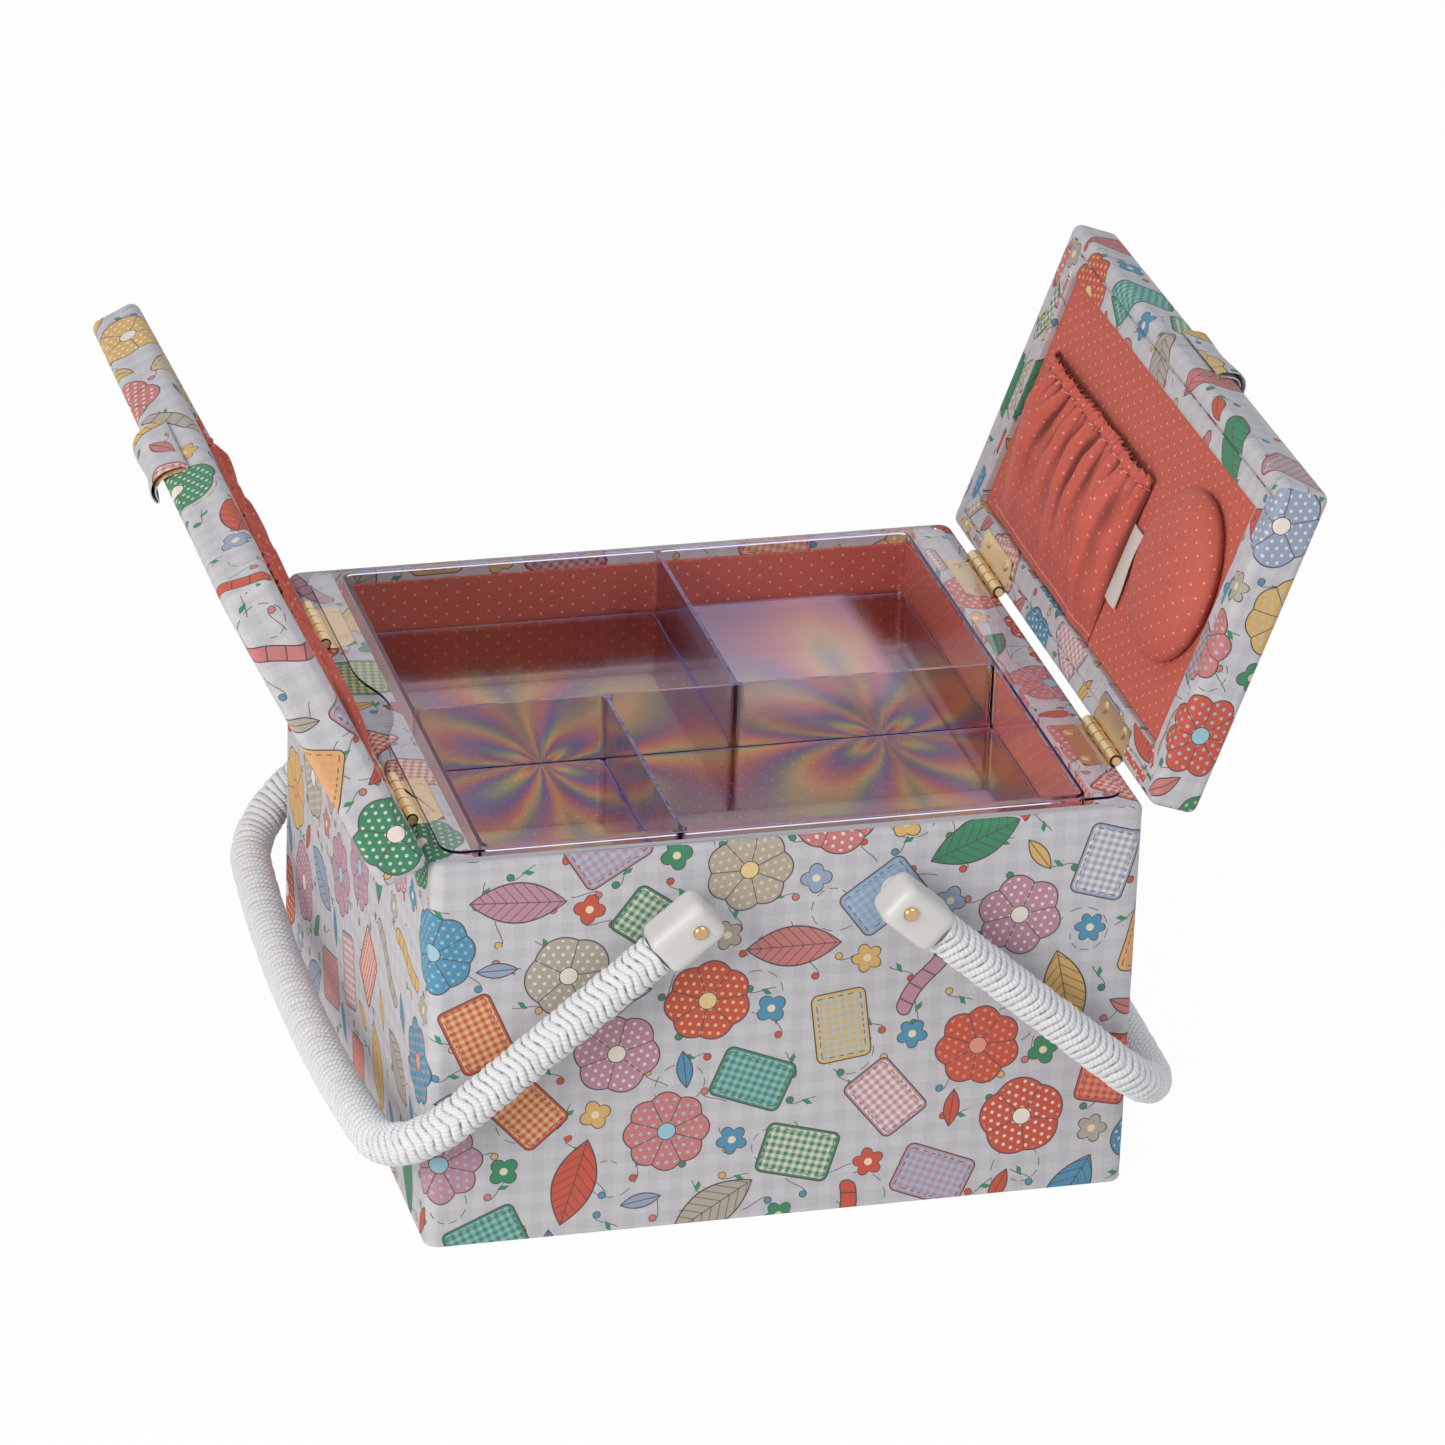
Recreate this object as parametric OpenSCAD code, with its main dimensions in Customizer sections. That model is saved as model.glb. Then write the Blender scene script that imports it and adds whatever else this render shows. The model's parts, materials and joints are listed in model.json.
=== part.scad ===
// Twin-lid sewing box: fabric-covered carcass, two padded lids on brass hinges,
// a clear sorting tray and two cord-wrapped carrying handles.
// Millimetres. Origin at the middle of the underside, +Z up, front towards -Y.

/* [Box] */
// Width of the box, side to side
body_w = 286; // [238:1:344]
// Depth of the box, front to back
body_d = 280; // [233:1:336]
// Height of the box up to the rim
body_h = 167; // [139:1:201]
// Thickness of the wall boards
wall_t = 7; // [5.8:0.1:8.4]
// Thickness of the base board
base_t = 6; // [5:0.5:8]
// Width of the left and right rims, wall board and hinge rail together
rim_w = 18; // [16:0.5:21]
// Height of the hinge rails
rail_h = 25; // [18:1:40]
// Radius of the upright edges
edge_r = 6; // [3:0.5:8]
// Radius of the rim's outer edge
rim_r = 2.5; // [1:0.5:3]
// Radius of the edge round the underside
foot_r = 1; // [0.5:0.5:2]

/* [Lining] */
// Thickness of a covered lining card
lining_t = 1.5; // [1:0.25:2.5]
// How far the lining stops below the rim
lining_drop = 4.5; // [2:0.5:8]

/* [Lids] */
// Thickness of a lid
lid_t = 21; // [17.5:0.5:25]
// Gap between the two lids when they are shut
lid_gap = 3; // [2.6:0.1:5]
// Height of a shut lid's underside above the rim
lid_clear = 3.6; // [3.6:0.1:5]
// Width of the lip round a lid's underside
lid_lip = 8; // [6:0.5:10]
// Width of the inner frame beside the lip
frame_w = 10; // [8:0.5:14]
// Depth of the lining panel below the lid's underside
lid_recess = 3.4; // [3:0.1:6]
// Radius of a lid's edges
lid_r = 4; // [2:0.5:6]
// How far the left lid opens, in degrees
left_open = 116.5; // [95:0.5:120]
// How far the right lid opens, in degrees
right_open = 109.5; // [95:0.5:120]
// Width of a pull tab
tab_w = 34; // [20:1:50]
// Thickness of a pull tab
tab_t = 1.2; // [0.8:0.1:1.2]
// How far a pull tab stands above the lid
tab_stand = 8; // [5:1:15]
// Length of pull tab glued to the lid's edge
tab_seat = 14; // [8:1:16]

/* [Pockets and pincushion] */
// Height of a pocket from its seam to its gathered hem
pocket_h = 75; // [50:1:76]
// Distance from the hinge edge of the lid to the pocket's seam
pocket_rise = 19; // [19:1:24]
// Distance from the lid's end to the near side of the right pocket
pocket_margin = 29; // [19:1:35]
// Distance from the lid's ends to the sides of the left pocket
wide_pocket_margin = 22; // [19:1:60]
// Thickness of a slack pocket lying flat
pocket_t = 3.5; // [2:0.5:3.5]
// Width of the gathered hem
hem_w = 9; // [6:1:14]
// Thickness of the gathered hem
hem_t = 4.2; // [4:0.1:4.2]
// Diameter of the elastic in the hem
elastic_d = 2.2; // [1:0.1:2.4]
// Diameter of the pincushion
cushion_d = 70; // [50:1:72]
// Height of the pincushion's dome
cushion_h = 20; // [12:1:24]
// Distance from the lid's front end to the pincushion's middle
cushion_front = 57; // [54:1:70]
// Distance between the pincushion and the pocket
cushion_gap = 21; // [12:1:30]
// Shift of the pincushion from the lid's middle line towards the free edge
cushion_shift = 5; // [0:0.5:5]
// Width of the blank side tag
tag_w = 9; // [5:1:11]
// Length of the blank side tag
tag_l = 33; // [15:1:40]
// Thickness of the blank side tag
tag_t = 0.8; // [0.5:0.1:1.5]
// Distance from the pocket's seam to the tag
tag_rise = 21; // [5:1:35]

/* [Hinges] */
// Length of a hinge
hinge_l = 38; // [32:0.5:46]
// Width of a leaf from the hinge axis
leaf_w = 13; // [12:0.5:15]
// Thickness of a leaf
leaf_t = 1.2; // [1:0.1:1.4]
// Diameter of the knuckles
knuckle_d = 5; // [4.6:0.1:5.4]
// Number of knuckles
knuckle_n = 5; // [3:2:7]
// Diameter of the hinge pin
pin_d = 2.4; // [2:0.1:3]
// Distance from the end of the box to the middle of a hinge
hinge_inset = 58; // [40:1:70]
// Distance from the hinge axis in to the outer face of the box
hinge_in = 0.5; // [0:0.1:1]
// Size of the clipped corner of a leaf
leaf_clip = 3.5; // [1:0.5:5]
// Distance between the two screws of a leaf
screw_pitch = 24; // [18:0.5:26]
// Distance from the hinge axis to the screws
screw_in = 9.5; // [8.5:0.1:10]
// Diameter of a hinge screw
screw_d = 2.8; // [2:0.1:3.4]
// Length of a hinge screw under its head
screw_l = 8; // [6:0.5:11]
// Diameter of a hinge screw's head
screw_head_d = 5.5; // [4.5:0.1:6]
// Height of a hinge screw's head
screw_head_h = 0.7; // [0.4:0.1:0.7]

/* [Tray] */
// Depth of the tray, flange to underside
tray_depth = 30; // [25:1:60]
// Thickness of the tray's walls, dividers and floor
tray_wall = 1.6; // [1.2:0.1:2.4]
// Thickness of the tray's flange
flange_t = 1.4; // [1:0.1:1.4]
// Distance from the box's side face to the edge of the flange
flange_in = 6; // [4:0.5:8]
// Radius of the flange's corners
flange_r = 8; // [4:0.5:14]
// Radius of the corners inside the compartments
compartment_r = 3; // [2:0.5:8]
// Place of the cross wall, front to back
cross_y = -5; // [-40:1:40]
// Place of the divider behind the cross wall
back_divider_x = 12.5; // [-60:0.5:60]
// Place of the divider in front of the cross wall
front_divider_x = -42; // [-60:0.5:60]
// Length of the finger notches in the flange
notch_l = 76; // [40:1:84]
// Depth of the finger notches
notch_depth = 8; // [4:0.5:10]

/* [Handles] */
// Distance of a handle's pivot from the middle of the box
pivot_x = 42; // [30:1:60]
// Distance of the pivots below the rim
pivot_drop = 26; // [20:1:50]
// Angle of the left handle below level, at rest
left_rest = 39.5; // [35:0.5:42]
// Angle of the right handle below level, at rest
right_rest = 41.5; // [35:0.5:42]
// Diameter of the wrapped handle
wrap_d = 17; // [14:0.5:19]
// Diameter of the core tube
core_d = 11; // [8:0.5:12]
// Bore of the core tube
core_bore = 8; // [4:0.5:9]
// Gap between the crossbar and the box's side, at rest
side_gap = 10.3; // [10:0.1:20]
// Radius of the handle's corners, to the middle of the tube
corner_r = 36; // [24:1:38]
// How far the crossbar bows outwards
crossbar_bow = 5.7; // [1:0.1:6]
// Length of an end cap
cap_l = 27; // [24:1:34]
// Width and height of an end cap
cap_w = 19; // [18:0.5:22]
// Radius of an end cap's edges
cap_r = 4; // [1:0.5:5]
// Distance from the pivot to the near end of the cap
cap_tail = 8; // [6:0.5:10]
// Length of core tube inside a cap
cap_socket = 10; // [6:0.5:12]
// Diameter of a spacer
spacer_d = 12; // [9:0.5:16]
// Thickness of a spacer
spacer_t = 3.3; // [2:0.1:5]
// Diameter of a pivot screw
pivot_d = 4; // [3:0.5:5]
// Diameter of a pivot screw's head
pivot_head_d = 6; // [5.5:0.5:9]
// Height of a pivot screw's head
pivot_head_h = 1.8; // [1:0.1:3]
// Diameter of a threaded insert
insert_d = 7; // [6:0.5:9]

/* [Clearances] */
// Radial gap of a pin or pivot in its bore
run_gap = 0.05; // [0.02:0.01:0.1]
// Radial gap of a screw in its hole
hole_gap = 0.1; // [0.05:0.05:0.2]
// Gap between neighbouring knuckles
knuckle_gap = 0.2; // [0.1:0.05:0.3]
// Gap round a leaf in its recess
leaf_gap = 0.2; // [0.1:0.05:0.4]
// Gap round the knuckles in their groove
groove_gap = 0.4; // [0.3:0.05:0.8]
// Gap between the tray and the lining
tray_gap = 1.6; // [1:0.1:3]
// Gap between the hinge screws and the tray's flange
flange_gap = 0.2; // [0.2:0.05:0.4]
// Gap between the flange and the front and back walls
flange_end_gap = 1.2; // [0.5:0.1:3]
// Gap between a spacer and its cap
cap_gap = 0.2; // [0.1:0.05:0.5]
// Radial gap between a handle's core and its wrap
wrap_gap = 0.1; // [0.05:0.05:0.3]

/* [Hidden] */
$fn = 64;

// Spare length for a cut that must pass right through
through = 1;
half_w = body_w / 2;
half_d = body_d / 2;
// Inner faces of the wall boards, the rails and the linings
wall_in_x = half_w - wall_t;
wall_in_y = half_d - wall_t;
rail_in_x = half_w - rim_w;
room_x = rail_in_x - lining_t;
room_y = wall_in_y - lining_t;
lining_top = body_h - lining_drop;
// Hinge axes, halfway between the rim and a shut lid
axis_x = half_w - hinge_in;
axis_z = body_h + lid_clear / 2;
hinge_y = half_d - hinge_inset;
knuckle_l = hinge_l / knuckle_n;
pin_head_d = (pin_d + knuckle_d) / 2;
pin_head_t = 0.6;
groove_l = hinge_l + 2 * (pin_head_t + groove_gap);
pilot_depth = screw_l + 0.5;
// A shut lid
lid_low = body_h + lid_clear;
lid_high = lid_low + lid_t;
lid_free_x = lid_gap / 2;
panel_z = lid_low + lid_recess;
frame_in = lid_lip + frame_w;
lid_l = half_w - lid_free_x;
// What lies on the lid linings
seam_x = half_w - pocket_rise;
hem_x = seam_x - pocket_h;
cushion_x = half_w - lid_l / 2 - cushion_shift;
cushion_y = -half_d + cushion_front;
pocket_y0 = cushion_y + cushion_d / 2 + cushion_gap;
pocket_y1 = half_d - pocket_margin;
wide_pocket_y = half_d - wide_pocket_margin;
cushion_sphere_r = (pow(cushion_d / 2, 2) + pow(cushion_h, 2)) / (2 * cushion_h);
// Tray
flange_z = body_h + screw_head_h + flange_gap;
tray_top = flange_z + flange_t;
tray_floor = tray_top - tray_depth;
tray_x = room_x - tray_gap;
tray_y = room_y - tray_gap;
flange_x = half_w - flange_in;
flange_y = wall_in_y - flange_end_gap;
notch_r = (pow(notch_l / 4, 2) + pow(notch_depth / 2, 2)) / notch_depth;
// Handles
pivot_z = body_h - pivot_drop;
arm_y = half_d + spacer_t + cap_gap + cap_w / 2;
steepest = max(left_rest, right_rest);
reach = (half_w + side_gap + wrap_d / 2 - pivot_x) / cos(steepest);
corner_x = reach - corner_r - crossbar_bow;
corner_y = arm_y - corner_r;
bow_r = (pow(corner_y, 2) + pow(corner_r + crossbar_bow, 2) - pow(corner_r, 2))
        / (2 * crossbar_bow);
bow_angle = asin(corner_y / (bow_r - corner_r));
wrap_start = cap_l - cap_tail;
core_start = wrap_start - cap_socket;
// Sides of the handle's round section, and steps along its corners and its bow
tube_sides = 24;
corner_steps = 8;
bow_steps = 6;

cover_colour = [0.80, 0.80, 0.84];
board_colour = [0.74, 0.63, 0.47];
lining_colour = [0.78, 0.36, 0.33];
brass_colour = [0.80, 0.62, 0.30];
clear_colour = [0.72, 0.62, 0.82, 0.5];
white_colour = [0.95, 0.95, 0.93];

// ---- shared shapes ----

// Flat rounded rectangle, centred
module rounded_rect(w, d, r) {
    square([w - 2 * r, d], center = true);
    square([w, d - 2 * r], center = true);
    for (x = [-1, 1], y = [-1, 1])
        translate([x * (w / 2 - r), y * (d / 2 - r)]) circle(r = r);
}

// Slab centred in X and Y from z = 0, with all its long edges rounded
module soft_slab(w, d, h, r) {
    intersection() {
        translate([0, d / 2, h / 2]) rotate([90, 0, 0]) linear_extrude(d) rounded_rect(w, h, r);
        translate([-w / 2, 0, h / 2]) rotate([90, 0, 90]) linear_extrude(w) rounded_rect(d, h, r);
        linear_extrude(h) rounded_rect(w, d, r);
    }
}

// Block between two corners
module block(low, high) {
    translate(low) cube(high - low);
}

// Low dome on z = 0, with a cross recess
module dome_head(d, h, slot_w, slot_t) {
    sphere_r = (pow(d / 2, 2) + h * h) / (2 * h);
    difference() {
        intersection() {
            translate([0, 0, h - sphere_r]) sphere(r = sphere_r);
            cylinder(d = d, h = h);
        }
        for (turn = [0, 90])
            rotate(turn) translate([-d / 4, -slot_w / 2, h - slot_t]) cube([d / 2, slot_w, h]);
    }
}

// Screw with its head above z = 0 and its shank below
module dome_screw(head_d, head_h, d, l) {
    dome_head(head_d, head_h, 0.6, head_h / 2);
    translate([0, 0, -l]) cylinder(d = d, h = l);
}

// Both hinges of one side
module at_hinges() {
    for (y = [-hinge_y, hinge_y]) translate([0, y, 0]) children();
}

// Shut right-hand lid parts turned to their open place
module open_lid(angle) {
    translate([axis_x, 0, axis_z]) rotate([0, angle, 0])
        translate([-axis_x, 0, -axis_z]) children();
}

module right_lid() {
    open_lid(right_open) children();
}

module left_lid() {
    mirror([1, 0, 0]) open_lid(left_open) children();
}

// ---- carcass ----

// Outer form of the covered box
module box_form() {
    difference() {
        intersection() {
            linear_extrude(body_h) rounded_rect(body_w, body_d, edge_r);
            translate([0, half_d, 0]) rotate([90, 0, 0]) linear_extrude(body_d)
                upright_profile(body_w);
            translate([-half_w, 0, 0]) rotate([90, 0, 90]) linear_extrude(body_w)
                upright_profile(body_d);
        }
        for (side = [0, 1]) mirror([side, 0, 0]) {
            at_hinges() leaf_recess();
        }
        for (x = [-pivot_x, pivot_x], y = [-1, 1])
            translate([x, y * (half_d - wall_t / 2), pivot_z]) rotate([90, 0, 0])
                cylinder(d = insert_d, h = wall_t + 2 * through, center = true);
    }
}

// Section of the box: rim edges and foot edges rounded
module upright_profile(w) {
    square_h = body_h - rim_r - foot_r;
    translate([-w / 2, foot_r]) square([w, square_h]);
    translate([-w / 2 + rim_r, foot_r]) square([w - 2 * rim_r, body_h - foot_r]);
    translate([-w / 2 + foot_r, 0]) square([w - 2 * foot_r, foot_r + 0.1]);
    for (side = [-1, 1]) {
        translate([side * (w / 2 - rim_r), body_h - rim_r]) circle(r = rim_r);
        translate([side * (w / 2 - foot_r), foot_r]) circle(r = foot_r);
    }
}

// Recess for a box leaf, its knuckles and its screws, about y = 0
module leaf_recess() {
    low_x = axis_x - leaf_w - leaf_gap;
    half_l = hinge_l / 2 + leaf_gap;
    block([low_x, -half_l, body_h - leaf_t], [half_w + through, half_l, body_h + through]);
    translate([axis_x, groove_l / 2, axis_z]) rotate([90, 0, 0])
        cylinder(r = knuckle_d / 2 + groove_gap, h = groove_l);
    for (y = [-1, 1] * screw_pitch / 2)
        translate([axis_x - screw_in, y, body_h - pilot_depth])
            cylinder(r = screw_d / 2 + hole_gap, h = pilot_depth + through);
}

module base_board() {
    color(board_colour)
        block([-wall_in_x, -wall_in_y, 0], [wall_in_x, wall_in_y, base_t]);
}

module front_wall() {
    color(cover_colour) intersection() {
        box_form();
        block([-half_w, -half_d, 0], [half_w, -wall_in_y, body_h]);
    }
}

module back_wall() {
    color(cover_colour) intersection() {
        box_form();
        block([-half_w, wall_in_y, 0], [half_w, half_d, body_h]);
    }
}

module right_wall() {
    color(cover_colour) intersection() {
        box_form();
        block([wall_in_x, -wall_in_y, 0], [half_w, wall_in_y, body_h]);
    }
}

module left_wall() {
    mirror([1, 0, 0]) right_wall();
}

module right_rail() {
    color(cover_colour) intersection() {
        box_form();
        block([rail_in_x, -wall_in_y, body_h - rail_h], [wall_in_x, wall_in_y, body_h]);
    }
}

module left_rail() {
    mirror([1, 0, 0]) right_rail();
}

module floor_lining() {
    color(lining_colour)
        block([-room_x, -room_y, base_t], [room_x, room_y, base_t + lining_t]);
}

module front_lining() {
    color(lining_colour)
        block([-room_x, -wall_in_y, base_t], [room_x, -room_y, lining_top]);
}

module back_lining() {
    color(lining_colour)
        block([-room_x, room_y, base_t], [room_x, wall_in_y, lining_top]);
}

module right_lining() {
    color(lining_colour)
        block([room_x, -wall_in_y, base_t], [rail_in_x, wall_in_y, lining_top]);
}

module left_lining() {
    mirror([1, 0, 0]) right_lining();
}

// ---- hinges ----

// Flat outline of a leaf about its middle, axis at x = 0, leaf towards -X
module leaf_outline() {
    half_l = hinge_l / 2;
    polygon([[0, -half_l], [-leaf_w + leaf_clip, -half_l], [-leaf_w, -half_l + leaf_clip],
             [-leaf_w, half_l], [0, half_l]]);
}

// Knuckles of one leaf along Y: the first one is at the front when first = 0
module knuckles(first, radius, spare) {
    for (i = [first : 2 : knuckle_n - 1])
        translate([0, -hinge_l / 2 + i * knuckle_l - spare, 0]) rotate([-90, 0, 0])
            cylinder(r = radius, h = knuckle_l + 2 * spare);
}

// Leaf let into the rim, with its axis at the origin and the rim below it
module leaf(first) {
    rest = 1 - first;
    difference() {
        union() {
            translate([0, 0, -lid_clear / 2 - leaf_t]) linear_extrude(leaf_t) leaf_outline();
            knuckles(first, knuckle_d / 2, -knuckle_gap / 2);
        }
        knuckles(rest, knuckle_d / 2 + groove_gap, knuckle_gap / 2);
        translate([0, hinge_l / 2 + through, 0]) rotate([90, 0, 0])
            cylinder(r = pin_d / 2 + run_gap, h = hinge_l + 2 * through);
        for (y = [-1, 1] * screw_pitch / 2)
            translate([-screw_in, y, -lid_clear / 2 - leaf_t - through])
                cylinder(r = screw_d / 2 + hole_gap, h = leaf_t + 2 * through);
    }
}

module hinge_screws() {
    for (y = [-1, 1] * screw_pitch / 2)
        translate([-screw_in, y, -lid_clear / 2])
            dome_screw(screw_head_d, screw_head_h, screw_d, screw_l);
}

module hinge_pin() {
    rotate([90, 0, 0]) {
        cylinder(d = pin_d, h = hinge_l + knuckle_gap, center = true);
        for (side = [0, 1]) mirror([0, 0, side])
            translate([0, 0, hinge_l / 2 + knuckle_gap / 4]) cylinder(d = pin_head_d, h = pin_head_t);
    }
}

module at_axes() {
    translate([axis_x, 0, axis_z]) at_hinges() children();
}

module right_box_leaves() {
    color(brass_colour) at_axes() leaf(0);
}

module left_box_leaves() {
    mirror([1, 0, 0]) right_box_leaves();
}

module right_hinge_pins() {
    color(brass_colour) at_axes() hinge_pin();
}

module left_hinge_pins() {
    mirror([1, 0, 0]) right_hinge_pins();
}

module right_box_screws() {
    color(brass_colour) at_axes() hinge_screws();
}

module left_box_screws() {
    mirror([1, 0, 0]) right_box_screws();
}

module shut_lid_leaves() {
    color(brass_colour) at_axes() mirror([0, 0, 1]) leaf(1);
}

module shut_lid_screws() {
    color(brass_colour) at_axes() mirror([0, 0, 1]) hinge_screws();
}

module right_lid_leaves() {
    right_lid() shut_lid_leaves();
}

module left_lid_leaves() {
    left_lid() shut_lid_leaves();
}

module right_lid_screws() {
    right_lid() shut_lid_screws();
}

module left_lid_screws() {
    left_lid() shut_lid_screws();
}

// ---- lids, drawn shut on the right-hand side ----

// Block that stands in from the lid's outline by a margin
module lid_inset(margin, low, high) {
    block([lid_free_x + margin, -half_d + margin, low], [half_w - margin, half_d - margin, high]);
}

// Recesses for both lid leaves and their screws
module lid_leaf_recesses() {
    translate([0, 0, axis_z]) mirror([0, 0, 1]) translate([0, 0, -axis_z])
        at_hinges() leaf_recess();
}

module lid_board() {
    color(cover_colour) difference() {
        translate([lid_free_x + lid_l / 2, 0, lid_low]) soft_slab(lid_l, body_d, lid_t, lid_r);
        lid_inset(lid_lip, lid_low - through, panel_z + lining_t);
        lid_leaf_recesses();
    }
}

module lid_frame() {
    color(cover_colour) difference() {
        lid_inset(lid_lip, lid_low, panel_z + lining_t);
        lid_inset(frame_in, lid_low - through, panel_z + lining_t + through);
        lid_leaf_recesses();
    }
}

module lid_lining() {
    color(lining_colour) lid_inset(frame_in, panel_z, panel_z + lining_t);
}

// Channel of the hem, or the elastic that lies in it
module hem_channel(d, y0, y1) {
    translate([hem_x + hem_w / 2, y1, panel_z - hem_t / 2]) rotate([90, 0, 0])
        cylinder(d = d, h = y1 - y0);
}

module pocket(y0, y1) {
    color(lining_colour) difference() {
        union() {
            block([hem_x + hem_w, y0, panel_z - pocket_t], [seam_x, y1, panel_z]);
            block([hem_x, y0, panel_z - hem_t], [hem_x + hem_w, y1, panel_z]);
        }
        hem_channel(elastic_d + 2 * hole_gap, y0 - through, y1 + through);
    }
}

module pull_tab() {
    color(cover_colour)
        block([lid_free_x - tab_t, -tab_w / 2, lid_high - tab_seat],
              [lid_free_x, tab_w / 2, lid_high + tab_stand]);
}

module right_lid_board() {
    right_lid() lid_board();
}

module left_lid_board() {
    left_lid() lid_board();
}

module right_lid_frame() {
    right_lid() lid_frame();
}

module left_lid_frame() {
    left_lid() lid_frame();
}

module right_lid_lining() {
    right_lid() lid_lining();
}

module left_lid_lining() {
    left_lid() lid_lining();
}

module right_pocket() {
    right_lid() pocket(pocket_y0, pocket_y1);
}

module left_pocket() {
    left_lid() pocket(-wide_pocket_y, wide_pocket_y);
}

module right_pocket_elastic() {
    right_lid() color(white_colour) hem_channel(elastic_d, pocket_y0, pocket_y1);
}

module left_pocket_elastic() {
    left_lid() color(white_colour) hem_channel(elastic_d, -wide_pocket_y, wide_pocket_y);
}

module right_pull_tab() {
    right_lid() pull_tab();
}

module left_pull_tab() {
    left_lid() pull_tab();
}

module pincushion() {
    right_lid() color(lining_colour) translate([cushion_x, cushion_y, panel_z]) intersection() {
        translate([0, 0, cushion_sphere_r - cushion_h]) sphere(r = cushion_sphere_r);
        translate([0, 0, -cushion_h]) cylinder(d = cushion_d + through, h = cushion_h);
    }
}

module side_tag() {
    right_lid() color(white_colour)
        block([seam_x - tag_rise - tag_l, pocket_y0 - tag_w, panel_z - tag_t],
              [seam_x - tag_rise, pocket_y0, panel_z]);
}

// ---- tray ----

// Flat rounded rectangle between two corners
module rect_between(low, high, r) {
    translate((low + high) / 2) rounded_rect(high[0] - low[0], high[1] - low[1], r);
}

// Finger notch in the right-hand edge of the flange: one hollow arc between two round ones
module notch_outline() {
    quarter = notch_l / 4;
    difference() {
        translate([flange_x - notch_depth / 2, -notch_l / 2]) square([notch_depth, notch_l]);
        for (side = [-1, 1])
            translate([flange_x - notch_r, side * notch_l / 2]) circle(r = notch_r, $fn = 360);
    }
    intersection() {
        translate([flange_x - notch_depth + notch_r, 0]) circle(r = notch_r, $fn = 360);
        translate([flange_x - notch_depth, -quarter]) square([notch_depth, 2 * quarter]);
    }
}

module tray() {
    inner_x = tray_x - tray_wall;
    inner_y = tray_y - tray_wall;
    half_wall = tray_wall / 2;
    color(clear_colour) difference() {
        union() {
            translate([0, 0, tray_floor]) linear_extrude(tray_depth)
                rounded_rect(2 * tray_x, 2 * tray_y, compartment_r + tray_wall);
            translate([0, 0, flange_z]) linear_extrude(flange_t) difference() {
                rounded_rect(2 * flange_x, 2 * flange_y, flange_r);
                for (side = [0, 1]) mirror([side, 0]) notch_outline();
            }
        }
        translate([0, 0, tray_floor + tray_wall]) linear_extrude(tray_depth) {
            rect_between([-inner_x, cross_y + half_wall], [back_divider_x - half_wall, inner_y],
                         compartment_r);
            rect_between([back_divider_x + half_wall, cross_y + half_wall], [inner_x, inner_y],
                         compartment_r);
            rect_between([-inner_x, -inner_y], [front_divider_x - half_wall, cross_y - half_wall],
                         compartment_r);
            rect_between([front_divider_x + half_wall, -inner_y], [inner_x, cross_y - half_wall],
                         compartment_r);
        }
    }
}

// ---- handles: pivot at the origin, arms along +X, crossbar along Y ----

// Middle line of the handle: places and outward directions, from the front arm to the back
function arc(x, y, radius, from, to, steps) =
    [for (i = [0 : steps])
        let (angle = from + (to - from) * i / steps)
        [x + radius * cos(angle), y + radius * sin(angle), angle]];
function handle_line(start) = concat(
    [[start, -arm_y, -90]],
    arc(corner_x, -corner_y, corner_r, -90, -bow_angle, corner_steps),
    [for (i = [1 : bow_steps - 1]) arc(reach - bow_r, 0, bow_r, -bow_angle, bow_angle, bow_steps)[i]],
    arc(corner_x, corner_y, corner_r, bow_angle, 90, corner_steps),
    [[start, arm_y, 90]]);
function section(place, radius) =
    [for (k = [0 : tube_sides - 1])
        let (turn = 360 * k / tube_sides, out = radius * cos(turn))
        [place[0] + out * cos(place[2]), place[1] + out * sin(place[2]), radius * sin(turn)]];

// Round bar along the handle's middle line
module bent_bar(start, diameter) {
    line = handle_line(start);
    last = len(line) - 1;
    sides = tube_sides;
    polyhedron(
        points = [for (place = line) each section(place, diameter / 2)],
        faces = concat(
            [[for (k = [sides - 1 : -1 : 0]) k]],
            [for (i = [0 : last - 1], k = [0 : sides - 1])
                let (next = (k + 1) % sides)
                [i * sides + k, i * sides + next, (i + 1) * sides + next, (i + 1) * sides + k]],
            [[for (k = [0 : sides - 1]) last * sides + k]]));
}

// Tube along the handle's middle line, from a start along the arms
module bent_tube(start, outer_d, bore_d) {
    difference() {
        bent_bar(start, outer_d);
        bent_bar(start - through, bore_d);
    }
}

// End cap on the arm at y = side * arm_y
module cap(side) {
    color(white_colour) difference() {
        translate([cap_l / 2 - cap_tail, side * arm_y, -cap_w / 2])
            soft_slab(cap_l, cap_w, cap_w, cap_r);
        translate([core_start, side * arm_y, 0]) rotate([0, 90, 0])
            cylinder(r = core_d / 2 + hole_gap, h = cap_l, $fn = 48);
        translate([0, side * arm_y, 0]) rotate([90, 0, 0])
            cylinder(r = pivot_d / 2 + run_gap, h = cap_w + 2 * through, center = true);
    }
}

module core() {
    color(board_colour) bent_tube(core_start, core_d, core_bore);
}

module wrap() {
    color(white_colour) bent_tube(wrap_start, wrap_d, core_d + 2 * wrap_gap);
}

module right_handle() {
    translate([pivot_x, 0, pivot_z]) rotate([0, right_rest, 0]) children();
}

module left_handle() {
    mirror([1, 0, 0]) translate([pivot_x, 0, pivot_z]) rotate([0, left_rest, 0]) children();
}

module right_handle_core() {
    right_handle() core();
}

module left_handle_core() {
    left_handle() core();
}

module right_handle_wrap() {
    right_handle() wrap();
}

module left_handle_wrap() {
    left_handle() wrap();
}

module right_front_cap() {
    right_handle() cap(-1);
}

module right_back_cap() {
    right_handle() cap(1);
}

module left_front_cap() {
    left_handle() cap(-1);
}

module left_back_cap() {
    left_handle() cap(1);
}

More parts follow.
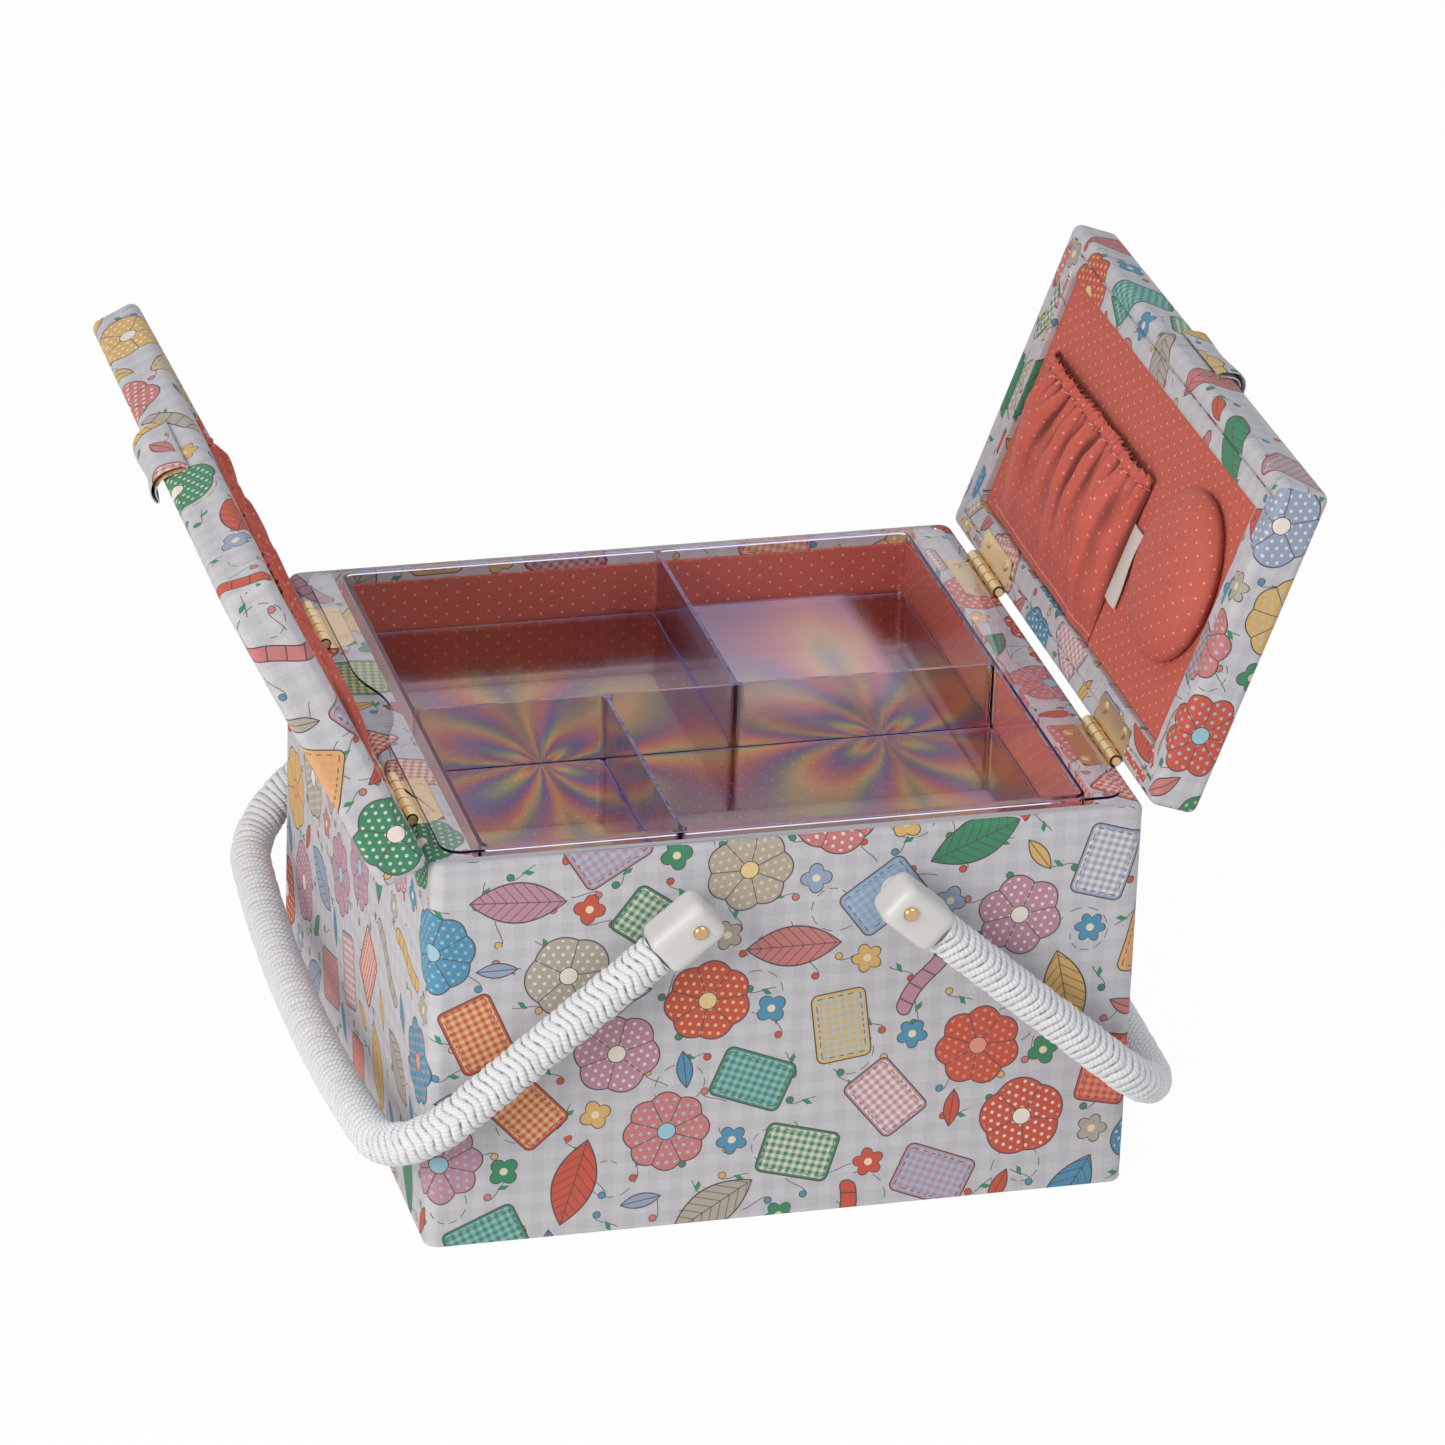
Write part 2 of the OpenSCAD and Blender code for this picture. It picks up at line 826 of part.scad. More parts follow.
// Places its children at both ends of the right handle's pivot, +Z outwards
module at_pivots() {
    for (side = [0, 1]) mirror([0, side, 0])
        translate([pivot_x, half_d, pivot_z]) rotate([-90, 0, 0]) children();
}

module right_spacers() {
    color(white_colour) at_pivots() difference() {
        cylinder(d = spacer_d, h = spacer_t);
        translate([0, 0, -through])
            cylinder(r = pivot_d / 2 + run_gap, h = spacer_t + 2 * through);
    }
}

module left_spacers() {
    mirror([1, 0, 0]) right_spacers();
}

module right_pivot_screws() {
    head_z = spacer_t + cap_w + 2 * cap_gap;
    color(brass_colour) at_pivots() translate([0, 0, head_z])
        dome_screw(pivot_head_d, pivot_head_h, pivot_d, head_z + wall_t - 0.5);
}

module left_pivot_screws() {
    mirror([1, 0, 0]) right_pivot_screws();
}

module wall_inserts() {
    color(brass_colour) for (side = [0, 1]) mirror([side, 0, 0]) at_pivots() difference() {
        translate([0, 0, -wall_t]) cylinder(d = insert_d, h = wall_t);
        translate([0, 0, -wall_t - through])
            cylinder(r = pivot_d / 2 + run_gap, h = wall_t + 2 * through);
    }
}

base_board();
front_wall();
back_wall();
left_wall();
right_wall();
left_rail();
right_rail();
floor_lining();
front_lining();
back_lining();
left_lining();
right_lining();
left_box_leaves();
right_box_leaves();
left_hinge_pins();
right_hinge_pins();
left_box_screws();
right_box_screws();
left_pivot_screws();
right_pivot_screws();
left_spacers();
right_spacers();
wall_inserts();
left_lid_board();
left_lid_frame();
left_lid_lining();
left_pocket();
left_pocket_elastic();
left_pull_tab();
left_lid_leaves();
left_lid_screws();
right_lid_board();
right_lid_frame();
right_lid_lining();
right_pocket();
right_pocket_elastic();
right_pull_tab();
right_lid_leaves();
right_lid_screws();
pincushion();
side_tag();
tray();
left_handle_core();
left_handle_wrap();
left_front_cap();
left_back_cap();
right_handle_core();
right_handle_wrap();
right_front_cap();
right_back_cap();
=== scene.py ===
"""Looks of a twin-lid sewing box: printed cloth over board, pin-dot linings with gathered
pockets and a pincushion, a clear tray, brass hinges and two cord-wrapped handles.

Metres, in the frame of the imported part: X to the right, Y to the back, Z up.
"""

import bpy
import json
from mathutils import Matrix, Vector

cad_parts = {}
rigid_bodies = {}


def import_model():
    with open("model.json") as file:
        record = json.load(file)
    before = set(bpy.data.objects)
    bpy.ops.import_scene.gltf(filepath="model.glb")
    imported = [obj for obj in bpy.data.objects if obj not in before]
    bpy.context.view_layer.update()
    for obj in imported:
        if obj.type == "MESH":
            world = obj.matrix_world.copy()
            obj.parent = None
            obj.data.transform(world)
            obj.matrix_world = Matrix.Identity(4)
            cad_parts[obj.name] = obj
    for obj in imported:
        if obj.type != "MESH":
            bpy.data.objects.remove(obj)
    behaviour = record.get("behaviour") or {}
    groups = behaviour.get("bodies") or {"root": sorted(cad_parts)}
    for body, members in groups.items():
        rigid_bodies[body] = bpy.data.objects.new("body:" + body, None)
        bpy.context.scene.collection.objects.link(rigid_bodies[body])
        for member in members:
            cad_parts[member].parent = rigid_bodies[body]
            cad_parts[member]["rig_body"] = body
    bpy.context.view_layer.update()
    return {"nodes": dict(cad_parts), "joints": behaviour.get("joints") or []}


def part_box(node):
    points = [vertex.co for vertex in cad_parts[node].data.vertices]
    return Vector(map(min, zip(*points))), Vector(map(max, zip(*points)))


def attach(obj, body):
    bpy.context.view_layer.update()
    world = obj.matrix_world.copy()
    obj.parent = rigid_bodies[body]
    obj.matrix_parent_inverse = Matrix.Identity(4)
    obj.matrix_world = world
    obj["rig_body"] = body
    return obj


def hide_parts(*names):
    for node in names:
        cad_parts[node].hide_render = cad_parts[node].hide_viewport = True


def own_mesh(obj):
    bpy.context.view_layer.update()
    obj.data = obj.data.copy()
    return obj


bl_info = {
    "name": "Sewing Box Looks",
    "version": (1, 0, 0),
    "blender": (4, 5, 0),
    "location": "View3D > Sidebar > Sewing Box",
    "description": "Builds the finished pieces of a cloth-covered sewing box round its packed parts",
    "category": "Object",
}

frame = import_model()

import json
import math

import bpy
import numpy as np
from mathutils import Matrix, Vector

MM = 0.001
MM_PER_M = 1000
NEAR = 0.01 * MM
TURN = 2 * math.pi
SIDES = {1: "right", -1: "left"}
JOINTS = {joint["name"]: joint for joint in frame["joints"]}


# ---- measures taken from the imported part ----

def corners(points):
    """The lowest and the highest corner of the box round some points."""
    return Vector(map(min, *points)), Vector(map(max, *points))


def node_points(node, matrix):
    """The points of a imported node, taken through a matrix."""
    return [matrix @ vertex.co for vertex in frame["nodes"][node].data.vertices]


def open_turn(side):
    """The matrix that opens a shut lid: 1 is the right-hand lid, -1 the left-hand one."""
    joint = JOINTS[SIDES[side] + "_lid_hinge"]
    axis_point = Vector(joint["pos_m"])
    angle = math.radians(-joint["range_deg"][0])
    turn = Matrix.Rotation(side * angle, 4, "Y")
    return Matrix.Translation(axis_point) @ turn @ Matrix.Translation(-axis_point)


def shut_box(node, side=1):
    """The corners of a lid's node with the lid shut, as on the right-hand side."""
    return corners(node_points(node, Matrix.Scale(side, 4, (1, 0, 0)) @ open_turn(side).inverted()))


FRONT_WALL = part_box("front_wall")
HALF_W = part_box("right_wall")[1].x
HALF_D = -FRONT_WALL[0].y
RIM_Z = FRONT_WALL[1].z
INNER_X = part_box("right_rail")[0].x
INNER_Y = -FRONT_WALL[1].y
FLOOR_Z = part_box("floor_lining")[0].z
LID_LOW, LID_HIGH = shut_box("right_lid_board")
FRAME_LOW, FRAME_HIGH = shut_box("right_lid_frame")
PANEL_LOW, PANEL_HIGH = shut_box("right_lid_lining")
PANEL_Z = PANEL_LOW.z
POCKETS = {1: shut_box("right_pocket"), -1: shut_box("left_pocket", -1)}
HEM = shut_box("right_pocket_elastic")[1].x - POCKETS[1][0].x
HINGE_AXIS = Vector(JOINTS["right_lid_hinge"]["pos_m"])
HALF_PIN = 19.65 * MM
HINGE_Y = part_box("right_hinge_pins")[1].y - HALF_PIN
KNUCKLE = 7.6 * MM
TRAY_CROSS_Y = -5 * MM


# ---- shader expressions ----

def linear(red, green, blue):
    """A colour written in 8-bit sRGB as linear light."""
    levels = [level / 255 for level in (red, green, blue)]
    return tuple(
        level / 12.92 if level <= 0.04045 else ((level + 0.055) / 1.055) ** 2.4
        for level in levels
    ) + (1.0,)


def math_node(operation, reflected=False):
    """A method of Value that adds a Math node."""
    def method(self, *others):
        values = (*others, self) if reflected else (self, *others)
        return self.paint.node("Math", {"operation": operation}, *values)
    return method


class Value:
    """An output socket of a node, with Python's operators."""

    def __init__(self, paint, socket):
        self.paint, self.socket = paint, socket

    __add__ = __radd__ = math_node("ADD")
    __mul__ = __rmul__ = math_node("MULTIPLY")
    __sub__ = math_node("SUBTRACT")
    __rsub__ = math_node("SUBTRACT", reflected=True)
    __truediv__ = math_node("DIVIDE")
    __rtruediv__ = math_node("DIVIDE", reflected=True)
    __pow__ = math_node("POWER")
    __lt__ = math_node("LESS_THAN")
    __gt__ = math_node("GREATER_THAN")
    __abs__ = math_node("ABSOLUTE")
    floor = math_node("FLOOR")
    fraction = math_node("FRACT")
    least = math_node("MINIMUM")
    most = math_node("MAXIMUM")
    sin = math_node("SINE")
    cos = math_node("COSINE")
    angle_to = math_node("ARCTAN2")
    between = math_node("WRAP")

    def wrap(self, size):
        """The value less whole multiples of size, centred on 0."""
        return self.between(size / 2, -size / 2)

    def ramp(self, low, high, start=0.0, end=1.0):
        """Start where the value is low, end where it is high, smoothly between."""
        smooth_steps = {"interpolation_type": "SMOOTHSTEP"}
        return self.paint.node("MapRange", smooth_steps, self, low, high, start, end)

    def inside(self, soft=0.06):
        """1 where the value is below 0 and 0 above, with a soft edge."""
        return self.ramp(-soft, soft, 1.0, 0.0)

    def line(self, half_width, soft=0.06):
        """1 where the value is within half a width of 0."""
        return (abs(self) - half_width).inside(soft)

    def output(self, name):
        """Another output of the same node."""
        return Value(self.paint, self.socket.node.outputs[name])


class Paint:
    """The nodes of one material, or of the world."""

    def __init__(self, name, world=False):
        self.owner = (bpy.data.worlds if world else bpy.data.materials).new(name)
        self.owner.use_nodes = True
        self.tree = self.owner.node_tree
        self.tree.nodes.clear()
        self.output = self.tree.nodes.new("ShaderNodeOutput" + ("World" if world else "Material"))

    def node(self, kind, settings=None, *values, **named):
        """Adds a node: its settings, or a ramp's stops, come first, then its sockets."""
        node = self.tree.nodes.new("ShaderNode" + kind)
        for setting, value in (settings or {}).items():
            if setting in ("steps", "stops"):
                self.set_stops(node.color_ramp, value, setting == "steps")
            else:
                setattr(node, setting, value)
        for index, value in enumerate(values):
            self.feed(node.inputs[index], value)
        for socket, value in named.items():
            self.feed(node.inputs[socket.replace("_", " ")], value)
        return Value(self, node.outputs[0])

    def feed(self, socket, value):
        """Links a value to a socket, or sets the socket to a constant."""
        if isinstance(value, Value):
            self.tree.links.new(value.socket, socket)
        elif value is not None:
            socket.default_value = value

    def set_stops(self, ramp, stops, stepped):
        ramp.interpolation = "CONSTANT" if stepped else "LINEAR"
        while len(ramp.elements) < len(stops):
            ramp.elements.new(1.0)
        for element, (place, colour) in zip(ramp.elements, stops):
            element.position, element.color = place, colour

    def mix(self, factor, first, second):
        """A colour between two."""
        made = self.node("Mix", {"data_type": "RGBA"}, factor)
        node = made.socket.node
        self.feed(node.inputs[6], first)
        self.feed(node.inputs[7], second)
        return Value(self, node.outputs[2])

    def choose(self, factor, first, second):
        """A number between two."""
        return self.node("Mix", {"data_type": "FLOAT"}, factor, None, first, second)

    def vector(self, x=0.0, y=0.0, z=0.0):
        return self.node("CombineXYZ", None, x, y, z)

    def parts(self, vector):
        made = self.node("SeparateXYZ", None, vector)
        return made, made.output("Y"), made.output("Z")

    def cloth_place(self):
        """Place on the cloth in millimetres, along its width and its length."""
        across, along, _ = self.parts(self.node("UVMap", {"uv_map": "cloth"}))
        return across * MM_PER_M, along * MM_PER_M

    def place(self):
        """Place on the piece in millimetres."""
        place = self.node("TexCoord").output("Object")
        return self.parts(self.node("VectorMath", {"operation": "SCALE"}, place, Scale=MM_PER_M))

    def hollow(self):
        """How deep in shade the surface lies."""
        return self.node("Attribute", {"attribute_name": "hollow"}).output("Fac")

    def noise(self, scale, detail=2.0, vector=None):
        """Noise from 0 to 1 with that many spots a metre, or a millimetre of the vector."""
        vector = vector or self.node("TexCoord").output("Object")
        return self.node("TexNoise", None, vector, Scale=scale, Detail=detail)

    def bump(self, height, distance, strength):
        return self.node("Bump", None, strength, distance, Height=height)

    def seen(self):
        """1 for what the eye sees, straight or in a reflection, and 0 for light that spreads."""
        rays = self.node("LightPath")
        reflected = rays.output("Is Glossy Ray").most(rays.output("Is Transmission Ray"))
        return rays.output("Is Camera Ray").most(reflected)

    def surface(self, colour, roughness, normal=None, **constants):
        """A Principled shader; constants go on its own sockets."""
        return self.node(
            "BsdfPrincipled", None,
            Base_Color=colour, Roughness=roughness, Normal=normal, **constants
        )

    def done(self, shader):
        """Joins the shader to the output, and hands back the material or the world."""
        self.feed(self.output.inputs["Surface"], shader)
        return self.owner

    def finish(self, colour, roughness, normal=None, **constants):
        """A material that is one Principled shader."""
        return self.done(self.surface(colour, roughness, normal, **constants))


# ---- finishes ----

INK = linear(88, 76, 80)
GROUND = linear(190, 189, 197)
GROUND_CHECK = linear(200, 200, 206)
CREAM = linear(232, 214, 186)
SLUB_SHADE = linear(120, 112, 112)
DYES = {
    "coral": linear(198, 90, 72),
    "rose": linear(196, 124, 124),
    "sky": linear(84, 145, 178),
    "mist": linear(150, 163, 190),
    "leaf": linear(66, 138, 104),
    "corn": linear(214, 176, 112),
    "stone": linear(176, 168, 158),
    "plum": linear(186, 140, 158),
}
PALE_DYES = [
    (0.0, linear(236, 226, 216)),
    (0.45, linear(232, 204, 148)),
    (0.6, linear(228, 152, 130)),
    (0.75, linear(156, 196, 214)),
]
THREAD = 0.2


def dye(paint, value, *names):
    """One of the named dyes, picked by a value from 0 to 1."""
    stops = [(index / len(names), DYES[name]) for index, name in enumerate(names)]
    return paint.node("ValToRGB", {"steps": stops}, value)


def distance(x, y):
    return (x * x + y * y) ** 0.5


def cells(paint, across, along, pitch, turn, seed):
    """Splits the cloth into turned square cells: place in the cell from its middle in
    millimetres, and four random numbers of the cell."""
    c, s = math.cos(turn) / pitch, math.sin(turn) / pitch
    u = across * c + along * s
    v = along * c - across * s
    column, row = u.floor(), v.floor()
    random = paint.node("TexWhiteNoise", None, paint.vector(column, row, seed))
    r1, r2, r3 = paint.parts(random.output("Color"))
    return (u - column - 0.5) * pitch, (v - row - 0.5) * pitch, random, r1, r2, r3


def turned(paint, x, y, angle):
    """x and y turned by an angle."""
    made = paint.node("VectorRotate", {"rotation_type": "Z_AXIS"}, paint.vector(x, y), Angle=angle)
    return paint.parts(made)[:2]


def polar(x, y):
    """Distance from the middle, and angle."""
    return distance(x, y), y.angle_to(x)


def curl_layer(paint, colour, across, along):
    """Dashed curls of thread-thin line."""
    pitch, cell_turn, seed, share = 47, 0.9, 3.7, 0.75
    inner_radius, opening, dashes = 9, 1.1, 9
    x, y, pick, r1, r2, _ = cells(paint, across, along, pitch, cell_turn, seed)
    radius, angle = polar(*turned(paint, x, y, r1 * TURN))
    coil = radius - inner_radius - angle * opening
    dash = (angle * dashes + r2).sin().ramp(-0.5, -0.3)
    return paint.mix(coil.line(THREAD) * dash * (pick < share) * 0.85, colour, INK)


def sprig_layer(paint, colour, across, along):
    """Single buds on thin stems, in the gaps."""
    pitch, cell_turn, seed, share, drift = 18, 0.35, 8.1, 0.72, 5
    half_stem, bud_x, sway, bud_radius = 5.2, 5.6, 0.9, 1.5
    x, y, pick, r1, r2, r3 = cells(paint, across, along, pitch, cell_turn, seed)
    x, y = turned(paint, x + (r2 - 0.5) * drift, y + (r3 - 0.5) * drift, r1 * TURN)
    present = pick < share
    stem = (y - (x * 0.32).sin() * sway).line(THREAD) * (abs(x) - half_stem).inside()
    colour = paint.mix(stem * present * 0.9, colour, INK)
    bud = distance(x - bud_x, y + sway) - bud_radius
    bud_dye = dye(paint, r3, "coral", "sky", "leaf", "rose", "corn")
    colour = paint.mix(bud.inside() * present, colour, bud_dye)
    colour = paint.mix(bud.line(0.18) * present, colour, INK)
    small_leaf = abs(y + x * 0.5) * 1.7 + abs(x + 1.4) - 2.4
    return paint.mix(small_leaf.inside() * present * (r2 > 0.4), colour, DYES["leaf"])


def filler_layer(paint, colour, across, along, pitch, cell_turn):
    """Small blossoms and pods at the corners between the large motifs."""
    seed, share, blossom_share, drift = 5.3, 0.86, 0.55, 4
    petal_radius, petal_depth, pod_half, core_radius = 3.4, 1.9, 2.6, 1.35
    x, y, pick, r1, r2, r3 = cells(paint, across, along, pitch, cell_turn, seed)
    x, y = turned(paint, x + (r2 - 0.5) * drift, y + (r1 - 0.5) * drift, r3 * TURN)
    radius, angle = polar(x, y)
    petals = (r1 * 3).floor() + 4
    lobes = abs((angle * petals * 0.5).cos())
    blossom = radius - petal_radius - lobes * petal_depth
    pod = (abs(y) - pod_half + x * x * 0.055) * 0.85
    is_pod = r2 > blossom_share
    shape = paint.choose(is_pod, blossom, pod)
    present = pick < share
    shape_dye = dye(paint, r3, "mist", "corn", "coral", "leaf", "rose", "sky", "stone")
    colour = paint.mix(shape.inside() * present, colour, shape_dye)
    core = (radius - core_radius).inside() * (r2 < blossom_share)
    vein = y.line(0.16) * is_pod * shape.inside()
    colour = paint.mix(core * present, colour, CREAM)
    colour = paint.mix(vein * present, colour, INK)
    return paint.mix(shape.line(THREAD) * present, colour, INK)


def large_layer(paint, colour, across, along, pitch, cell_turn):
    """Large motifs: lobed rosettes, veined leaves, patterned patches and banded stems."""
    seed, drift = 1.9, 2
    x, y, pick, r1, r2, r3 = cells(paint, across, along, pitch, cell_turn, seed)
    x, y = turned(paint, x + (r1 - 0.5) * drift, y + (r3 - 0.5) * drift, r2 * TURN)
    radius, angle = polar(x, y)
    is_leaf, is_patch, is_stem = pick > 0.40, pick > 0.62, pick > 0.86

    def of_kind(rosette, leaf, patch, stem):
        """The value that belongs to the cell's kind of motif."""
        flower_or_leaf = paint.choose(is_leaf, rosette, leaf)
        return paint.choose(is_stem, paint.choose(is_patch, flower_or_leaf, patch), stem)

    rosette_radius, leaf_half, patch_corner, stem_half = 14.6, 7.2, 2.6, 2.7
    patch_flat_x, patch_flat_y, stem_flat = 10.2, 6.6, 14.5
    petals = (r3 * 4).floor() + 5
    lobes = abs((angle * petals * 0.5).cos())
    rosette = radius - rosette_radius + (1 - lobes) * (r1 * 3.6 + 1.2)
    leaf = (abs(y) - leaf_half + x * x * 0.0281) * 0.85
    patch = distance((abs(x) - patch_flat_x).most(0), (abs(y) - patch_flat_y).most(0)) - patch_corner
    stem = distance((abs(x) - stem_flat).most(0), y + (x * 0.2).sin() * 1.2) - stem_half
    shape = of_kind(rosette, leaf, patch, stem)
    inside = shape.inside()
    shape_dye = dye(paint, (pick * 7.3 + r1).fraction(),
                    "coral", "sky", "corn", "rose", "leaf", "stone", "mist", "coral", "plum")
    colour = paint.mix(inside, colour, shape_dye)

    pale = paint.node("ValToRGB", {"steps": PALE_DYES}, r3)
    dot_pitch, dot_radius, check_pitch, check_half, margin = 2.9, 0.62, 2.6, 0.65, 0.9
    stagger = (x / dot_pitch + 0.5).floor() * (dot_pitch / 2)
    dots = (distance(x.wrap(dot_pitch), (y + stagger).wrap(dot_pitch)) - dot_radius).inside()
    checks = ((abs(x.wrap(check_pitch)) - check_half).inside() * 0.5
              + (abs(y.wrap(check_pitch)) - check_half).inside() * 0.5)
    pattern = paint.choose(r1 > 0.5, dots, checks)
    has_pattern = (1 - is_leaf) + is_patch - is_stem
    colour = paint.mix(pattern * has_pattern * (shape + margin).inside() * 0.8, colour, pale)

    eye_radius, vein_pitch, hem, stitches, band_pitch = 3.1, 3.6, 1.7, 22, 6.2
    ribs = radius * lobes / petals * 2
    veins = abs(y).least(abs((x + abs(y) * 0.9).wrap(vein_pitch)))
    stitching = abs(patch + hem) + (angle * stitches).sin().most(0)
    bands = abs(x.wrap(band_pitch)) * 0.7
    detail = of_kind(ribs, veins, stitching, bands)
    colour = paint.mix(detail.line(THREAD) * inside * 0.85, colour, INK)
    eye = (radius - eye_radius) + is_leaf * 50
    colour = paint.mix(eye.inside(), colour, pale)
    return paint.mix(shape.line(0.24).most(eye.line(0.18)), colour, INK)


def weave_height(across, along, pitch):
    """Threads of a plain weave."""
    return (across * (TURN / pitch)).sin() * (along * (TURN / pitch)).sin()


def printed_cloth():
    """Closely woven cotton canvas with a scattered print over a faint tone-on-tone check."""
    paint = Paint("printed_cloth")
    across, along = paint.cloth_place()
    check_pitch, check_half = 9.4, 2.3
    checks = sum(way.wrap(check_pitch).line(check_half, 0.3) * 0.5 for way in (across, along))
    colour = paint.mix(checks, GROUND, GROUND_CHECK)
    colour = curl_layer(paint, colour, across, along)
    colour = sprig_layer(paint, colour, across, along)
    pitch, turn, motif_scale = 34, 0.52, 1.2
    half_x = pitch / 2 * (math.cos(turn) - math.sin(turn))
    half_y = pitch / 2 * (math.cos(turn) + math.sin(turn))
    motif_x, motif_y = across / motif_scale, along / motif_scale
    colour = filler_layer(paint, colour, motif_x + half_x, motif_y + half_y, pitch, turn)
    colour = large_layer(paint, colour, motif_x, motif_y, pitch, turn)
    slubs = paint.noise(900, 3)
    colour = paint.mix(slubs.ramp(0.35, 0.75) * 0.10, colour, SLUB_SHADE)
    height = weave_height(across, along, 0.55) * 0.5 + slubs + paint.noise(30) * 11
    normal = paint.bump(height, 0.12 * MM, 0.7)
    return paint.finish(colour, 0.82, normal, Sheen_Weight=0.08, Specular_IOR_Level=0.25)


def dotted_cloth(name, base, dot, period, sheen, seams=()):
    """Plain dyed cotton with a staggered lattice of pin dots, and rows of stitches at places
    along the cloth in millimetres. Painted shade darkens it as far as its hollow attribute says."""
    paint = Paint(name)
    across, along = paint.cloth_place()
    long, short = period
    near = distance(across.wrap(long), along.wrap(short))
    far = distance((across + long / 2).wrap(long), (along + short / 2).wrap(short))
    dot_radius, stitch_pitch = 0.5, 2.8
    dots = (near.least(far) - dot_radius).inside(0.16)
    slubs = paint.noise(700, 3)
    colour = paint.mix(slubs.ramp(0.3, 0.8) * 0.16, base, linear(120, 44, 44))
    colour = paint.mix(dots * 0.9, colour, dot)
    # Painted shade: a dark red-brown laid on in the folds and creases, as the hollow attribute says.
    colour = paint.mix(paint.hollow(), colour, linear(112, 48, 42))
    for seam in seams:
        stitches = (along - seam).line(0.3, 0.1) * across.wrap(stitch_pitch).line(1.0, 0.15)
        colour = paint.mix(stitches * 0.8, colour, linear(232, 172, 158))
    height = weave_height(across, along, 0.5) * 0.5 + slubs
    normal = paint.bump(height, 0.10 * MM, 0.5)
    return paint.finish(colour, 0.75, normal, Sheen_Weight=sheen, Specular_IOR_Level=0.3)


def spotted_lining():
    """The pin-dot cotton of the linings and of the panels in the lids."""
    return dotted_cloth("spotted_lining", linear(198, 97, 82), linear(230, 172, 150), (9.0, 6.5), 0.1)


def coral_cloth():
    """The pin-dot cotton of the pincushion."""
    return dotted_cloth("coral_cloth", linear(194, 97, 83), linear(228, 162, 142), (9.5, 7.2), 0.06)


def pocket_cloth():
    """The pin-dot cotton of the pockets, stitched along its seam and its casing."""
    low, high = POCKETS[1]
    seam, casing = 3.0, (high.x - low.x - HEM) / MM
    base, dot = linear(204, 100, 87), linear(232, 168, 148)
    return dotted_cloth("pocket_cloth", base, dot, (9.5, 7.2), 0.06, (seam, casing))


def covered_board():
    """Dyed cotton on the underside of the box."""
    paint = Paint("board")
    grain = paint.noise(500, 4)
    colour = paint.mix(grain, linear(168, 164, 166), linear(188, 184, 186))
    return paint.finish(colour, 0.85, paint.bump(grain, 0.1 * MM, 0.6))


def brass():
    """Polished brass with faint rolling marks, dark where the knuckles meet; the domes
    outside the walls are glossier, and painted darker to stand in for the dark reflections they show."""
    paint = Paint("brass")
    x, y, z = paint.place()
    smear = paint.noise(90, 3)
    marks = paint.noise(1.0, 2, paint.vector(x * 0.3, y * 6, z * 0.3))
    colour = paint.mix(smear, linear(206, 176, 132), linear(226, 200, 158))
    from_axis = distance(abs(x) - HINGE_AXIS.x / MM, z - HINGE_AXIS.z / MM)
    pitch, knuckle_radius, seam_half = KNUCKLE / MM, 3, 0.28
    joint = ((abs(y) - HINGE_Y / MM) / pitch).wrap(1.0) * pitch
    seam = (pitch / 2 - abs(joint)).line(seam_half, 0.1) * (from_axis < knuckle_radius)
    colour = paint.mix(seam * 0.9, colour, linear(64, 44, 24))
    outside = abs(y) > HALF_D / MM
    roughness = smear.ramp(0.2, 0.8, 0.3, 0.44) * (1 - outside * 0.65)
    # Painted shade: the domes outside the walls are darkened to stand in for the dark reflections round
    # them.
    colour = paint.mix(outside * 0.5, colour, linear(186, 140, 84))
    return paint.finish(colour, roughness, paint.bump(marks, 0.012 * MM, 0.5), Metallic=1.0)


def steel():
    """Dull zinc-plated steel."""
    paint = Paint("steel")
    smear = paint.noise(300, 3)
    colour = paint.mix(smear, linear(150, 148, 144), linear(176, 174, 170))
    return paint.finish(colour, smear.ramp(0.2, 0.8, 0.3, 0.5), Metallic=1.0)


def white_plastic():
    """Moulded white plastic, slightly see-through at its edges."""
    paint = Paint("white_plastic")
    flow = paint.noise(120)
    colour = paint.mix(flow, linear(203, 202, 202), linear(212, 211, 211))
    normal = paint.bump(paint.noise(1500), 0.02 * MM, 0.4)
    depth = (4 * MM, 3.5 * MM, 3 * MM)
    return paint.finish(
        colour, flow.ramp(0.2, 0.8, 0.3, 0.42), normal,
        Subsurface_Weight=0.25, Subsurface_Radius=depth, Subsurface_Scale=1.0
    )


def white_cord():
    """Off-white plied cord: its strands slant across each turn, with painted shade between the strands
    and in the gaps between the turns.
    Its map's length counts the turns, one to a metre."""
    paint = Paint("white_cord")
    around, turns = paint.cloth_place()
    strand_pitch = 1.9
    strands = (around * (TURN / strand_pitch) + turns * (TURN * MM)).sin()
    hollow = paint.hollow()
    colour = paint.mix(paint.noise(70), linear(222, 225, 230), linear(231, 234, 239))
    # Painted shade in the troughs between the strands.
    colour = paint.mix(strands.ramp(-1, -0.4, 1.0, 0.0) * 0.22, colour, linear(178, 174, 176))
    # Painted shade from the hollow attribute: in the grooves between the turns, darkest in the slots.
    colour = paint.mix(hollow.ramp(0.1, 0.7) * 0.7, colour, linear(158, 155, 158))
    colour = paint.mix(hollow.ramp(0.8, 1.0), colour, linear(84, 76, 72))
    normal = paint.bump(strands * 0.6 + paint.noise(1300, 4), 0.22 * MM, 0.8)
    return paint.finish(colour, 0.8, normal, Sheen_Weight=0.15, Specular_IOR_Level=0.25)


def white_cloth():
    """White satin ribbon."""
    paint = Paint("white_cloth")
    ribs = paint.noise(900, 3)
    colour = paint.mix(ribs, linear(198, 192, 188), linear(212, 207, 203))
    return paint.finish(colour, 0.5, paint.bump(ribs, 0.05 * MM, 0.5), Sheen_Weight=0.1)


